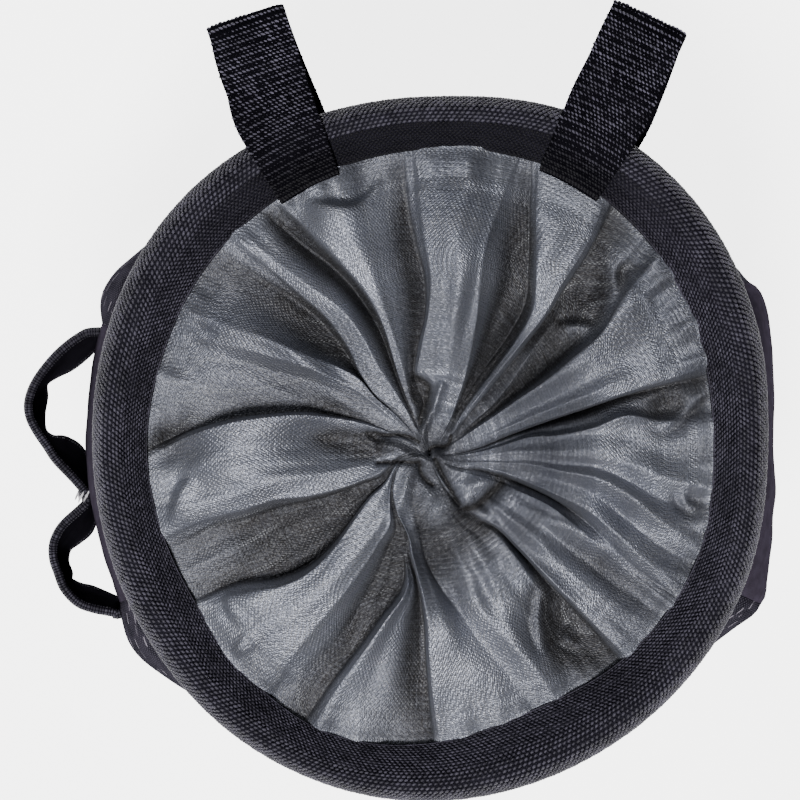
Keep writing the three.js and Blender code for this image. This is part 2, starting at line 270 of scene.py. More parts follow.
class Finish(Board):
    # a material with one Principled shader
    def __init__(self, name):
        self.material = bpy.data.materials.new(name)
        self.material.use_nodes = True
        super().__init__(self.material.node_tree)
        self.shader = self.tree.nodes["Principled BSDF"]

    def place(self):
        return self.node("ShaderNodeTexCoord", output=3)

    def across(self):
        # the piece's own UV map, in millimetres: u and v
        uv = self.node("ShaderNodeUVMap", {"uv_map": "cloth"})
        parts = self.node("ShaderNodeSeparateXYZ", None, {0: uv})
        return parts, Wire(self, parts.socket.node.outputs[1])

    def noise(self, scale, detail=2.0, roughness=0.5, at=None):
        sockets = {"Vector": at or self.place(), "Scale": scale, "Detail": detail, "Roughness": roughness}
        return self.node("ShaderNodeTexNoise", None, sockets)

    def point(self, x, y, z=0.0):
        return self.node("ShaderNodeCombineXYZ", None, {0: x, 1: y, 2: z})

    def colour(self, a, b, share):
        sockets = {0: share, 6: a, 7: b}
        return self.node("ShaderNodeMix", {"data_type": "RGBA"}, sockets, output=2)

    def surface(self, constants, **varying):
        for name, value in constants.items():
            self.shader.inputs[name].default_value = value
        for name, wire in varying.items():
            self.tree.links.new(wire.socket, self.shader.inputs[name.replace("_", " ")])
        return self.material

    def cloth(self, base, roughness, height, distance, strength, shine=0.0, metal=0.0):
        sockets = {"Height": height, "Distance": distance, "Strength": strength}
        normal = self.node("ShaderNodeBump", None, sockets)
        constants = {"Specular IOR Level": shine, "Metallic": metal}
        return self.surface(constants, Base_Color=base, Roughness=roughness, Normal=normal)


def grainTree():
    # a small rounded grain on every point, turned to the point's own directions
    tree = bpy.data.node_groups.new("grains", "GeometryNodeTree")
    inputs = {
        "Points": "Geometry", "Length": "Float", "Width": "Float", "Height": "Float", "Segments": "Int",
        "Rings": "Int", "Variation": "Float", "Seed": "Int", "Material": "Material",
    }
    for name, kind in inputs.items():
        tree.interface.new_socket(name, in_out="INPUT", socket_type="NodeSocket" + kind)
    tree.interface.new_socket("Geometry", in_out="OUTPUT", socket_type="NodeSocketGeometry")
    b = Board(tree)
    given = tree.nodes.new("NodeGroupInput")
    given = {name: Wire(b, given.outputs[name]) for name in inputs}
    size = b.node("ShaderNodeCombineXYZ", None, {0: given["Length"], 1: given["Width"], 2: given["Height"]})
    ball = b.node("GeometryNodeMeshUVSphere", None,
                  {"Segments": given["Segments"], "Rings": given["Rings"], "Radius": 0.5})
    ball = b.node("GeometryNodeTransform", None, {"Geometry": ball, "Scale": size})
    ball = b.node("GeometryNodeSetShadeSmooth", None, {"Geometry": ball})
    aim, facing = (
        b.node("GeometryNodeInputNamedAttribute", {"data_type": "FLOAT_VECTOR"}, {"Name": name})
        for name in ("aim", "facing")
    )
    turn = b.node("FunctionNodeAlignRotationToVector", {"axis": "X"}, {"Vector": aim})
    turn = b.node("FunctionNodeAlignRotationToVector", {"axis": "Z", "pivot_axis": "X"},
                  {"Rotation": turn, "Vector": facing})
    scale = b.node("FunctionNodeRandomValue", {"data_type": "FLOAT"},
                   {2: 1 - given["Variation"], 3: 1 + given["Variation"], "Seed": given["Seed"]}, output=1)
    placed = b.node("GeometryNodeInstanceOnPoints", None,
                    {"Points": given["Points"], "Instance": ball, "Rotation": turn, "Scale": scale})
    solid = b.node("GeometryNodeRealizeInstances", None, {"Geometry": placed})
    solid = b.node("GeometryNodeSetMaterial", None, {"Geometry": solid, "Material": given["Material"]})
    end = tree.nodes.new("NodeGroupOutput")
    tree.links.new(solid.socket, end.inputs[0])
    return tree


def throughTree(name, source, tree, values):
    # the plain mesh that a node tree makes from a mesh
    modifier = source.modifiers.new(name, "NODES")
    modifier.node_group = tree
    for item in tree.interface.items_tree:
        if item.in_out == "INPUT" and item.name in values:
            modifier[item.identifier] = values[item.name]
    evaluated = source.evaluated_get(bpy.context.evaluated_depsgraph_get())
    mesh = bpy.data.meshes.new_from_object(evaluated)
    source.modifiers.clear()
    bpy.data.objects.remove(source)
    mesh.name = name
    made = bpy.data.objects.new(name, mesh)
    bpy.context.scene.collection.objects.link(made)
    return made


def grainsOn(name, laid, size, material, segments=6, rings=4, variation=0.08):
    # laid: rows of points, the ways their grains run and the ways they face; size in millimetres
    points, aim, facing = (
        np.concatenate([np.reshape(part, (-1, 3)) for part in parts]) for parts in zip(*laid)
    )
    source = meshFrom(name + "Points", points, np.zeros((0, 3), int), smooth=False)
    for key, vectors in (("aim", aim), ("facing", facing)):
        layer = source.data.attributes.new(key, "FLOAT_VECTOR", "POINT")
        layer.data.foreach_set("vector", vectors.astype(np.float32).reshape(-1))
    values = {"Length": size[0] * mm, "Width": size[1] * mm, "Height": size[2] * mm, "Segments": segments,
              "Rings": rings, "Variation": variation, "Seed": 5, "Material": material}
    made = throughTree(name, source, grains, values)
    return dressed(made, None, material)


def directions(grid):
    # along the rows, and square to the surface, for each point of a grid
    along, across = np.gradient(grid, axis=0), np.gradient(grid, axis=1)
    return unit(along), unit(np.cross(along, across))


grains = grainTree()


view = {
    "above": (-6.3, 8.7, 700.0),  # the camera looks straight down from here
    "sensor": 36.0,
    "field": 152.0,  # width seen at the crest of the rim
    "distance": 550.0,  # from the camera to the crest of the rim
    "floorHalf": 2500,
}

lights = {
    "key": {"at": (-60, -260, 900), "size": 170, "power": 12.0, "colour": (1.0, 0.99, 0.97)},
    "fill": {"at": (-300, 260, 700), "size": 300, "power": 1.2, "colour": (0.95, 0.97, 1.0)},
    "world": 0.07,
    "floorGlow": 4.0,
}


def aimed(thing, at, target=(0, 0, 120)):
    thing.location = Vector(at) * mm
    thing.rotation_euler = (Vector(target) - Vector(at)).to_track_quat("-Z", "Y").to_euler()


def makeStage():
    camera = bpy.data.cameras.new("camera")
    camera.sensor_width = view["sensor"]
    camera.lens = view["sensor"] * view["distance"] / view["field"]
    camera.clip_start, camera.clip_end = 0.01, 20
    cameraObject = bpy.data.objects.new("camera", camera)
    cameraObject.location = [x * mm for x in view["above"]]
    bpy.context.scene.collection.objects.link(cameraObject)
    bpy.context.scene.camera = cameraObject

    for name in ("key", "fill"):
        facts = lights[name]
        light = bpy.data.lights.new(name, "AREA")
        light.shape = "DISK"
        light.size = facts["size"] * mm
        light.energy = facts["power"]
        light.color = facts["colour"]
        lamp = bpy.data.objects.new(name, light)
        aimed(lamp, facts["at"])
        bpy.context.scene.collection.objects.link(lamp)

    world = bpy.data.worlds.new("studio")
    bpy.context.scene.world = world
    world.use_nodes = True
    world.node_tree.nodes["Background"].inputs[0].default_value = (1, 1, 1, 1)
    world.node_tree.nodes["Background"].inputs[1].default_value = lights["world"]

    half = view["floorHalf"]
    corners = [(-half, -half, 0), (half, -half, 0), (half, half, 0), (-half, half, 0)]
    floor = meshFrom("floor", corners, [(0, 1, 2, 3)], smooth=False)
    pale = Finish("paleFloor")
    pale.surface({
        "Base Color": (0.9, 0.9, 0.9, 1), "Roughness": 0.9,
        "Emission Color": (1, 1, 1, 1), "Emission Strength": lights["floorGlow"],
    })
    floor.data.materials.append(pale.material)


bag = {
    "height": 150.0,
    "bodyRadius": 70.0,
    "wall": 2.0,
    "base": 3.0,
    "rimRadius": 67.4,
    "rimWidth": 12.0,
    "rimDepth": 13.0,
    "rimSeat": 0.25,
    "gap": 0.3,
}
bodyTop = bag["height"] - bag["rimDepth"] - bag["gap"]
bodyBottom = bag["base"] + bag["gap"]

# bearing, share of the rim's radius
rimOutline = [
    (0, 0.95), (22, 0.983), (45, 1.018), (66, 1.024), (90, 0.99), (135, 0.998),
    (180, 0.965), (210, 0.973), (240, 1.0), (266, 1.01), (300, 0.99), (336, 0.968),
]
# bearing, share of the rim's width
rimBand = [
    (0, 0.82), (25, 0.92), (60, 0.92), (90, 0.8), (130, 0.94), (158, 0.93), (182, 0.82),
    (213, 0.9), (232, 0.82), (250, 0.73), (270, 0.88), (290, 1.04), (312, 0.92), (335, 0.81),
]
# bearing, share of the body's radius
bodyOutline = [
    (6, 1.0), (17, 1.019), (25, 1.046), (29, 1.02), (42, 0.985), (90, 0.958), (138, 0.98), (154, 1.045),
    (162, 1.01), (183, 0.995), (205, 1.01), (214, 1.045), (232, 0.985), (270, 0.958), (318, 0.98),
    (328, 1.02), (334, 1.066), (338, 1.045), (344, 1.016), (356, 0.995),
]
# height, girth, share of the outline, tuck in to the rim
bodyProfile = [
    (0.0, 0.9, 0.25, 0), (0.03, 0.93, 0.3, 0), (0.1, 0.955, 0.4, 0), (0.35, 0.985, 0.55, 0),
    (0.65, 1, 0.8, 0), (0.85, 0.998, 1, 0), (0.94, 0.985, 0.95, 0.3), (1.0, 0.95, 0.8, 1),
]


def rimReach(bearing):
    return bag["rimRadius"] * fromTable(rimOutline, 1, bearing, 360)


def rimInnerReach(bearing):
    return rimReach(bearing) - bag["rimWidth"] * fromTable(rimBand, 1, bearing, 360)


def bodyReach(bearing, z):
    bearing, z = np.broadcast_arrays(np.asarray(bearing, float), np.asarray(z, float))
    height = z / bodyTop
    outline = fromTable(bodyOutline, 1, bearing, 360) - 1
    full = bag["bodyRadius"] * fromTable(bodyProfile, 1, height)
    full = full * (1 + outline * fromTable(bodyProfile, 2, height))
    seat = mixed(rimReach(bearing), rimInnerReach(bearing), bag["rimSeat"])
    return mixed(full, seat, fromTable(bodyProfile, 3, height))


collar = {
    "hub": (-0.6, -1.9),
    "columns": 760,
    "rows": 128,
    "firstRing": 0.012,  # share of the way from the middle to the seam
    "crowding": 1.25,  # above 1 the rings lie closer together towards the middle
    "farRadius": 293.0,  # the fold table's radius at the seam, in pixels of the photograph
    "depth": 2.3,  # millimetres for each unit of the fold table's heights
    "depthAtKnot": 0.2,  # share of the depth that is left at the middle
    "straight": 0.4,  # how straight the flanks between the lines are
    "steepness": 2.2,  # of the flanks that the fold table makes steep
    "tuckedUnder": 0.5,  # the edge runs in under the rim
    "wrinkle": 0.24,
    "pucker": 0.9,
    "sway": 0.45,
    "valley": 0.72,  # times the heights below nought
    "paintedShade": (-1.5, 1.1),  # table heights where the painted valley shade is darkest and where the cloth is open, without painted shade
    # painted shade at the knot
    "paintedShadeAtKnot": 0.72,
    "wrinkleWidth": 9.0,  # in columns
    "flat": (0.34, 0.056),
}
# height of the cloth below the crest of the rim, from the hub to the seam
collarDrop = [
    (0.0, 10.4), (0.06, 8.6), (0.14, 6.9), (0.28, 5.7), (0.45, 5.4), (0.62, 5.7), (0.78, 6.6),
    (0.9, 7.7), (1.0, 8.6),
]
foldRadii = [20, 50, 75, 100, 130, 165, 200, 240, 290]
# each line: bearings at the fold radii, heights there, and how steep it is before and after
foldLines = [
    ([-4, 2, 6, 8.5, 7, 7.5, 9.5, 6, 6], [.5, 1.5, 1.8, 2, 2, 1.8, 1.5, 1, .3], 0, 1),
    ([0, 6, 11, 13, 14, 14.5, 15, 14.8, 14],
     [-.6, -1.6, -2.2, -2.8, -3.4, -3.4, -3, -2.2, -1], 1, 1),
    ([3, 10, 14, 15, 15.3, 15.7, 16.2, 16, 16], [0, 1, 1.5, 1.8, 2, 2, 2, 1.5, .6], .3, .2),
    ([10, 15, 18, 19, 19.5, 19.5, 20, 19.5, 20], [.5, 1.6, 2.2, 2.4, 2.6, 2.6, 2.4, 1.8, .8], 0, 0),
    ([16, 20, 22, 23, 23.5, 23.7, 24.5, 25.5, 27], [.6, 1.6, 2, 2, 2, 1.8, 1.5, 1, .2], 0, 0),
    ([24, 28.5, 30, 31, 31.5, 33, 34, 38, 40], [.8, 2, 2.6, 3, 3, 2.8, 2.4, 2.2, .8], 0, 1),
    ([30, 33, 34, 34.5, 35.3, 36.5, 38, 42.5, 44],
     [-.8, -2, -2.6, -2.9, -2.9, -2.6, -2, -1.6, -.6], 0, 0),
    ([33, 36, 37.5, 40.5, 44, 46, 46, 46, 47.5],
     [-.5, -.8, -1, -1, -1, -2.2, -1.6, -1.8, -.6], .5, .2),
    ([38, 44, 46, 47, 47.8, 48.6, 50, 51, 53],
     [-1, -1.4, -1.6, -1.7, -1.8, -3.2, -3, -2.4, -1.2], .3, 1),
    ([42, 48, 49.3, 49.8, 50, 50, 51.8, 52.6, 55], [0, .6, .8, 1, 1.2, 1.6, 2, 1.6, .6], .2, 0),
    ([45, 51, 52, 52, 52.2, 54, 60, 65.5, 69.5], [-.4, .2, .4, .6, .8, 1.6, 1.8, 1.4, .4], 0, 1),
    ([52, 57, 58, 57, 56, 57, 62, 67, 71], [-1, -3, -4, -4.4, -4.6, -4.4, -3.6, -1.8, -.2], .6, .1),
    ([57, 62, 65, 68, 71, 74, 75.3, 74.5, 73.5], [.4, 1, 1.4, 1.8, 2.4, 2.8, 2.8, 1.8, .4], .8, .2),
    ([68, 76, 79, 80, 81, 82, 83, 83, 83], [1, 2.2, 2.8, 3.4, 3.8, 4, 3.8, 2.8, 1], 0, 0),
    ([80, 86, 99, 95.5, 91.5, 90.3, 92, 93, 93.5], [.8, 2, 1.5, 2.4, 3, 3.2, 3, 2, .6], .2, 1),
    ([95, 97, 102, 98, 93, 92.3, 94.5, 96, 96],
     [-1, -2.6, -2, -2.4, -3, -3.2, -2.8, -1.8, -.6], 1, .1),
    ([108, 110, 109, 108, 108, 108.5, 110, 113, 114],
     [0, .2, .4, .8, 1.2, 1.6, 2.2, 2.2, .6], 0, 0),
    ([110, 113, 112.8, 111.7, 110.7, 112.3, 115.6, 119, 122.5],
     [-.2, -.2, 0, .6, 1.2, 1.6, 2, 2, .6], .2, 1),
    ([114, 115, 114.5, 113.3, 113, 115, 118, 122.5, 126],
     [-1.5, -2.5, -3.4, -4, -4.4, -4.4, -4, -3, -1], .5, .5),
    ([119, 119, 120.5, 121.5, 121, 122.8, 127, 130, 132],
     [.2, .4, .8, 1.2, 1.4, 1.6, 1.6, 1.2, .4], 0, 0),
    ([124, 126, 133, 132.5, 128.8, 128.3, 130.3, 132, 134],
     [0, .2, .6, .4, .6, .8, .8, .6, .2], .2, 1),
    ([127, 130, 134.6, 133.4, 131, 130.6, 132.5, 135.5, 138],
     [-.6, -1, -1.2, -2, -2.6, -3, -2.8, -2, -.6], .6, 0),
    ([130, 132, 135, 134.5, 139, 144, 147, 149.5, 151],
     [0, .4, .8, 1.2, 1.6, 2, 2, 1.6, .4], .6, .1),
    ([133, 137, 139, 140.5, 144, 148, 151, 154, 157],
     [.2, .8, 1, 1.4, 1.8, 2, 1.9, 1.4, .4], 0, .3),
    ([136, 141, 143.5, 146, 149, 152.5, 155.5, 159, 162],
     [0, .2, -.1, -.1, -.1, 0, .2, .3, 0], 0, 0),
    ([145, 152, 155, 159, 162.3, 167, 171, 175.5, 181],
     [-.4, -.8, -1, -1.2, -1.4, -1.5, -1.5, -1.2, -.4], .1, 1),
    ([148, 153.5, 157, 160.3, 163.8, 168.3, 172.3, 176.8, 182.5],
     [.4, .8, 1.2, 1.6, 2, 2.4, 2.6, 1.8, .4], .4, .1),
    ([158, 166, 169, 171, 174, 177, 180, 184, 188],
     [-.2, -1.6, -1.6, -.6, .6, 2.4, 3, 2, .6], 0, 0),
    ([166, 182, 184, 184, 184, 185, 186, 188, 191], [-.2, -1.4, -1, .6, 2, 2.8, 3, 1.8, .5], 0, 0),
    ([172, 190, 191, 191.5, 191.5, 191.5, 192, 193, 195],
     [0, .8, 1.8, 2.4, 2.6, 2.6, 2.4, 1.8, .5], 0, 0),
    ([174, 199, 201.5, 201.5, 200, 197.5, 198, 197.5, 199],
     [0, 1.4, 2, 2.2, 2, 1.6, 1.2, .8, .2], 0, 1),
    ([176, 204, 205, 204.5, 203, 201, 201, 200, 202],
     [-1, -2.4, -3.4, -3.6, -3.2, -2.4, -1.6, -1, -.4], .5, 0),
    ([178, 207, 210, 211, 211, 210, 209, 207, 207],
     [-1, -2.6, -3, -2.8, -2.4, -2, -1, -.3, 0], 0, 0),
    ([179.5, 209.5, 215, 219.5, 223, 223.5, 220.5, 215, 213],
     [-1, -2.8, -3.4, -3.6, -3.4, -3, -2.6, -1.8, -.8], .5, 1),
    ([181, 212, 217, 221.5, 224.8, 225.3, 222.8, 217.5, 215],
     [0, 1, 2, 2.4, 2.6, 2.6, 2.4, 1.6, .6], .3, .2),
    ([182.3, 214, 227, 230, 231, 231, 229.5, 226, 225],
     [.2, 1.2, 2.4, 2.8, 3, 3, 2.8, 2.2, .8], 0, 0),
    ([183.4, 218, 239, 240, 239.5, 238.3, 237, 236.2, 237],
     [0, .2, 2, 2.2, 2.4, 2.2, 1.8, 1.3, .4], .1, .4),
    ([184.4, 219.3, 244, 246, 246.5, 245.5, 244, 241.5, 241.5],
     [-1, -1.6, -1.8, -1.6, -1.4, -1.3, -1.2, -1, -.6], .2, .2),
    ([185.2, 220, 249, 255, 258, 253.3, 249.9, 247, 245],
     [-.8, -1.4, -2.4, -2.8, -3, -2.8, -2.4, -1.8, -1], .2, 1),
    ([186, 220.6, 249.6, 255.8, 260, 255, 251.6, 248.8, 247],
     [-.6, -1.2, -2, -2.4, 1.2, 2, 2, 1.5, .4], .3, 0),
    ([186.8, 221.2, 250.2, 257, 262.5, 259.5, 257.5, 256.5, 257],
     [-.7, -1.4, -2, -2.2, .3, .4, .2, 0, -.1], 0, 0),
    ([187.6, 221.8, 250.8, 258.6, 264.4, 267.2, 268.1, 269, 270],
     [-.8, -1.6, -2, -2.6, -3.6, -4, -3.8, -2.8, -.8], .1, 1),
    ([190, 223, 251.5, 260, 265.6, 268.6, 269.3, 270.2, 271.5],
     [.6, 1.4, 2, 2.4, 2.6, 2.8, 2.6, 2, .6], .3, .2),
    ([215, 240, 256, 264, 270, 274, 277, 280, 282], [.6, 1, .4, 0, 1.2, 2.4, 2.2, 1.6, .6], 0, 0),
    ([235, 252, 262, 266.5, 273, 280, 284.5, 288, 290],
     [0, -1, -1.6, -1.6, -1, .8, .9, .8, .3], .4, 0),
    ([255, 274, 277, 282, 287, 287.5, 291, 294.5, 296],
     [.2, 0, -.8, -1.2, .4, 2, 2.2, 1.8, .5], 0, 0),
    ([270, 285, 288, 294, 297, 297, 299.5, 301, 302],
     [0, -.8, -1.4, -1.6, .9, 1.4, .4, -1.2, -.2], 0, 0),
    ([285, 293, 299, 307.5, 308.5, 307.5, 307, 306.5, 306],
     [-.6, -1.4, -2.2, -1.6, 1.2, .2, -2.8, -3, -.8], 0, 0),
    ([290, 296.5, 302.5, 310, 311, 311, 311, 311, 311],
     [-1, -1.8, -2.4, -3, -2.6, -3.6, -4, -3.4, -1], .5, 1),
    ([292, 299, 305.5, 312, 312.5, 312.5, 312.5, 312.5, 312.5],
     [.6, 2.2, .2, 1.6, 2, 2, 2, 1.6, .5], .3, .2),
    ([310, 318, 320, 320, 320, 318, 318, 318, 319], [.9, 2.8, .2, 2.2, 2.8, 1.4, 1.2, 1, .6], 0, 0),
    ([318, 326, 328, 328, 327, 324, 323.5, 323, 323],
     [.9, 2.6, .2, 2.2, 2.4, .1, .1, .2, .2], 0, 0),
    ([326, 334, 336, 336, 335, 332, 329.5, 327.5, 326.5],
     [.6, 2, .2, 2, 2.2, .8, .8, .8, .4], 0, .6),
    ([332, 341, 341.5, 340, 338.3, 335.5, 331.8, 329, 328],
     [-.4, -1.4, -2.6, -2.9, -1.8, -.6, .6, .4, 0], .6, .6),
    ([336, 344.5, 344.5, 343, 341, 339, 335.5, 332, 330.5],
     [0, .8, 1.4, 1.8, 2, 2, 2.2, 1.8, .5], .2, 0),
    ([339, 347.5, 348.5, 348.5, 347, 345, 341, 337, 335.5],
     [.4, 1.4, 2, 2, 1.8, 1.4, .8, .6, 0], 0, 0),
    ([342, 350, 352, 353, 351.5, 350.5, 347, 342, 339.5],
     [.6, 1.8, 2.4, 2.8, 2.8, 2.8, 2.4, 1.8, .5], 0, 0),
    ([345, 352, 354.5, 355.5, 354, 354, 351, 347, 346],
     [.6, 1.6, 2.2, 2.4, 2.2, 1.8, 1, .2, -.6], 0, 0),
    ([350, 356, 358.5, 359.5, 358, 357.5, 355.5, 352.5, 351],
     [.6, 1.8, 2.4, 2.8, 2.6, 2.4, 2, 1.6, .6], 0, 0),
    ([353, 359, 362, 363.5, 362.5, 362, 362.5, 358, 357],
     [.6, 1.6, 2.2, 2.4, 2.3, 2.2, 1.6, .6, -.4], 0, 0),
]


# short lips of cloth: the (bearing, radius) points of a line whose left side is raised, or its right side
# where the rise is negative; then the rise and how far it fades, in the units of the fold table
tucks = [
    ([(46, 168), (41, 188), (36, 206)], -1.6, 16),
    ([(36, 212), (40, 236), (44, 256), (39, 286)], 1.6, 20),
    ([(121, 284), (114, 262), (108, 250), (103, 262), (100, 288)], -2.2, 26),
    ([(186, 244), (190, 262), (197, 280)], 1.8, 18),
    ([(222, 214), (216, 258), (226, 262)], 1.2, 16),
    ([(224, 250), (226.5, 284), (229, 252)], 1.2, 10),
    ([(281, 162), (286, 146), (294, 134), (302, 124), (311, 108)], 1.0, 26),
    ([(312, 170), (304, 190), (299, 220), (298, 262)], 1.8, 26),
    ([(311, 228), (304, 240), (308, 262)], 1.6, 12),
    ([(303, 84), (315, 88), (336, 91)], 1.8, 18),
    ([(336, 91), (335, 120), (333.5, 152)], 1.2, 12),
    ([(351, 254), (347, 262), (345.5, 288)], 1.8, 14),
    ([(5.5, 224), (5, 246), (9, 276), (12, 286)], 1.8, 18),
]
tuckStep = {
    "width": (-6.5, 4.5),  # where the step of a tuck starts and ends, across its line
    "share": 0.62,  # of the rise
    "foot": 0.4,  # how far the low side sinks, as a share of the rise
}
# rolls and creases about the knot: their line, their rise in millimetres and their half width
rolls = [
    ([(167, 64), (170, 46), (175, 28), (220, 8), (330, 8)], 2.6, 6.5),
    ([(81, 66), (86, 44), (100, 28), (122, 14)], 2.4, 4),
    ([(60, 44), (44, 34), (36, 20)], 1.8, 4.5),
    ([(332, 60), (318, 50), (307, 62)], 1.8, 8),
    ([(338, 40), (325, 24), (330, 10)], 1.8, 8),
    ([(270, 40), (262, 54), (256, 76)], 1.6, 8),
    ([(222, 26), (236, 44), (243, 70)], 1.8, 7),
    ([(196, 36), (203, 60), (206, 90)], 1.2, 7),
    ([(102, 76), (92, 64), (97, 48), (108, 32)], -1.8, 4),
    ([(90, 4), (36, 13), (27, 20), (40, 27)], -2.2, 3.2),
    ([(190, 54), (196, 28), (215, 13)], -1.8, 2.8),
    ([(160, 60), (156, 46), (132, 17)], -1.4, 2.8),
    ([(163, 66), (166, 56)], -1.8, 4),
    ([(225, 14), (258, 24), (276, 31)], -1.6, 3),
    ([(318, 7), (304, 18), (300, 40), (299, 60)], -2.2, 3.4),
    ([(302, 68), (312, 71), (325, 73), (337, 78)], -1.8, 6),
]
# round hollows: bearing, radius, half widths in degrees and pixels, depth
hollows = [
    (207, 185, 9, 30, 0.7), (305, 225, 6, 34, 2.0), (98, 60, 12, 12, 2.2), (9, 250, 4, 26, 2.0),
    (181, 262, 6, 22, 1.6), (168, 62, 9, 10, 1.8), (322, 76, 16, 6, 1.6), (326, 220, 4, 50, 0.8),
    (214, 120, 7, 34, 1.0), (136, 150, 5, 40, 0.8), (172, 100, 12, 26, 1.4), (45, 215, 4, 26, 1.2),
    (120, 262, 3.5, 26, 1.2), (348, 272, 2.5, 14, 1.6),
]


def flatPoint(bearing, radius):
    angle = np.radians(bearing)
    return np.stack([radius * np.cos(angle), radius * np.sin(angle)], axis=-1)


def flatLine(points, count):
    # a smooth line through (bearing, radius) points
    turns, fine = np.linspace(0, 1, len(points)), np.linspace(0, 1, count)
    return flatPoint(*(curveThrough(turns, [point[k] for point in points], fine) for k in (0, 1)))


def localFolds(bearing, radius):
    # height that the tucks and hollows add at each point of the collar
    here = flatPoint(bearing, radius)
    added = np.zeros(here.shape[:2])
    for line, rise, fade in tucks:
        line = flatLine(line, 14)
        nearest, side, run = np.full(added.shape, np.inf), np.zeros(added.shape), np.zeros(added.shape)
        for n, (start, end) in enumerate(zip(line[:-1], line[1:])):
            way = end - start
            t = np.clip(((here - start) @ way) / (way @ way), 0, 1)
            off = here - (start + t[..., None] * way)
            distance = np.linalg.norm(off, axis=-1)
            closer = distance < nearest
            left = np.sign(way[0] * off[..., 1] - way[1] * off[..., 0])
            nearest, side = np.where(closer, distance, nearest), np.where(closer, left, side)
            run = np.where(closer, (n + t) / (len(line) - 1), run)
        side = side * np.sign(rise)
        ends = eased(run, -0.02, 0.4) * eased(1 - run, -0.02, 0.4)
        step = eased(side * nearest, *tuckStep["width"])
        up = step * np.exp(-((nearest / fade) ** 2))
        down = (1 - step) * np.exp(-((nearest / (0.6 * fade)) ** 2))
        added += tuckStep["share"] * abs(rise) * ends * (up - tuckStep["foot"] * down)
    for middle, reach, halfTurn, halfReach, depth in hollows:
        turn = (bearing - middle + 180) % 360 - 180
        added -= depth * np.exp(-((turn / halfTurn) ** 2) - ((radius - reach) / halfReach) ** 2)
    return added


def aboutKnot(bearing, radius):
    # height of the rolls and creases near the middle, in millimetres, and how far each point is in a
    # crease, which the cloth shows as painted shade
    here = flatPoint(bearing, radius)
    added, creaseShade = np.zeros(here.shape[:2]), np.zeros(here.shape[:2])
    for line, rise, halfWidth in rolls:
        line = flatLine(line, 24)
        distance = np.min(np.linalg.norm(here[:, :, None] - line, axis=-1), axis=-1)
        near = np.exp(-((distance / halfWidth) ** 2))
        added += rise * near
        if rise < 0:
            creaseShade = np.maximum(creaseShade, near)
    return added, creaseShade


def collarSurface():
    lines = len(foldLines)
    reaches = np.linspace(collar["firstRing"], 1.0, collar["rows"]) ** collar["crowding"]
    farRadius = collar["farRadius"]
    radii = [0.0, *foldRadii]
    at = reaches * farRadius
    bearings = np.array([curveThrough(radii, [b[0], *b], at) for b, *_ in foldLines])
    heights = np.array([curveThrough(radii, [0.2 * h[0], *h], at) for _, h, *_ in foldLines])
    heights = np.where(heights < 0, collar["valley"] * heights, heights)
    steepBefore = np.array([line[2] for line in foldLines])
    steepAfter = np.array([line[3] for line in foldLines])

    # columns are shared out by how wide each flank is halfway out
    half = collar["rows"] // 2
    widths = np.diff(np.append(bearings[:, half], bearings[0, half] + 360))
    steps = np.maximum(4, np.round(widths / 360 * (collar["columns"] - 4 * lines) + 4)).astype(int)

    bearingColumns, heightColumns = [], []
    for n in range(lines):
        m = (n + 1) % lines
        turn = 360 if m == 0 else 0
        t = (np.arange(steps[n]) / steps[n])[:, None]
        rise = heights[m] - heights[n]
        slopeOut = collar["steepness"] * steepAfter[n] * rise
        slopeIn = collar["steepness"] * steepBefore[m] * rise
        flank = mixed(t * t * (3 - 2 * t), t, collar["straight"])
        h = heights[n] + rise * flank + slopeOut * t * (1 - t) ** 2 - slopeIn * t * t * (1 - t)
        bearingColumns.append(bearings[n] + (bearings[m] + turn - bearings[n]) * t)
        heightColumns.append(h)
    bearing = np.concatenate(bearingColumns).T
    height = np.concatenate(heightColumns).T
    reach = np.broadcast_to(reaches[:, None], bearing.shape)

    edge = polar(bearing, rimInnerReach(bearing) + collar["tuckedUnder"], 0)
    hub = np.array([*collar["hub"], 0])
    points = mixed(hub, edge, reach[..., None])
    radial = np.linalg.norm(points - hub, axis=-1)

    height = height + localFolds(bearing, reach * farRadius)
    sway = softNoise(7, bearing / 5.0, radial / 15.0, 72)
    height = height + collar["sway"] * sway * eased(reach, 0.15, 0.4)

    # small wrinkles that follow the folds, and puckers where the cloth is sewn to the rim
    along = (np.arange(bearing.shape[1]) + 1) / collar["wrinkleWidth"]
    wrapAlong = int(round(bearing.shape[1] / collar["wrinkleWidth"]))
    wrinkle = softNoise(3, along + 0 * radial, radial / 14.0, wrapAlong)
    wrinkle = wrinkle + 0.5 * softNoise(4, along * 2 + 0 * radial, radial / 8.0, wrapAlong * 2)
    pucker = softNoise(5, bearing / 3.6, radial / 60.0, 100)
    pucker = (pucker + 0.5 * softNoise(6, bearing / 1.8, radial / 9.0, 200)) * eased(reach, 0.78, 0.95)
    # painted shade: the lower the cloth lies in the fold table, the darker its colour, with a set amount at
    # the knot
    paintedShade = 1 - eased(height, collar["paintedShade"][0], collar["paintedShade"][1])
    paintedShade = mixed(collar["paintedShadeAtKnot"], paintedShade, eased(reach, 0.04, 0.18))
    height = height * collar["depth"] * (1 - 0.35 * eased(reach, 0.93, 1.0))
    height = height * mixed(collar["depthAtKnot"], 1, eased(reach, 0.06, 0.6))
    added, creaseShade = aboutKnot(bearing, reach * farRadius)
    # the creases about the knot add painted shade
    height, paintedShade = height + added, np.maximum(paintedShade, 1.3 * creaseShade)
    z = bag["height"] - fromTable(collarDrop, 1, reach) + height
    z = z + collar["wrinkle"] * wrinkle * eased(reach, 0.1, 0.3) + collar["pucker"] * pucker
    points[..., 2] = z
    return points, paintedShade, radial


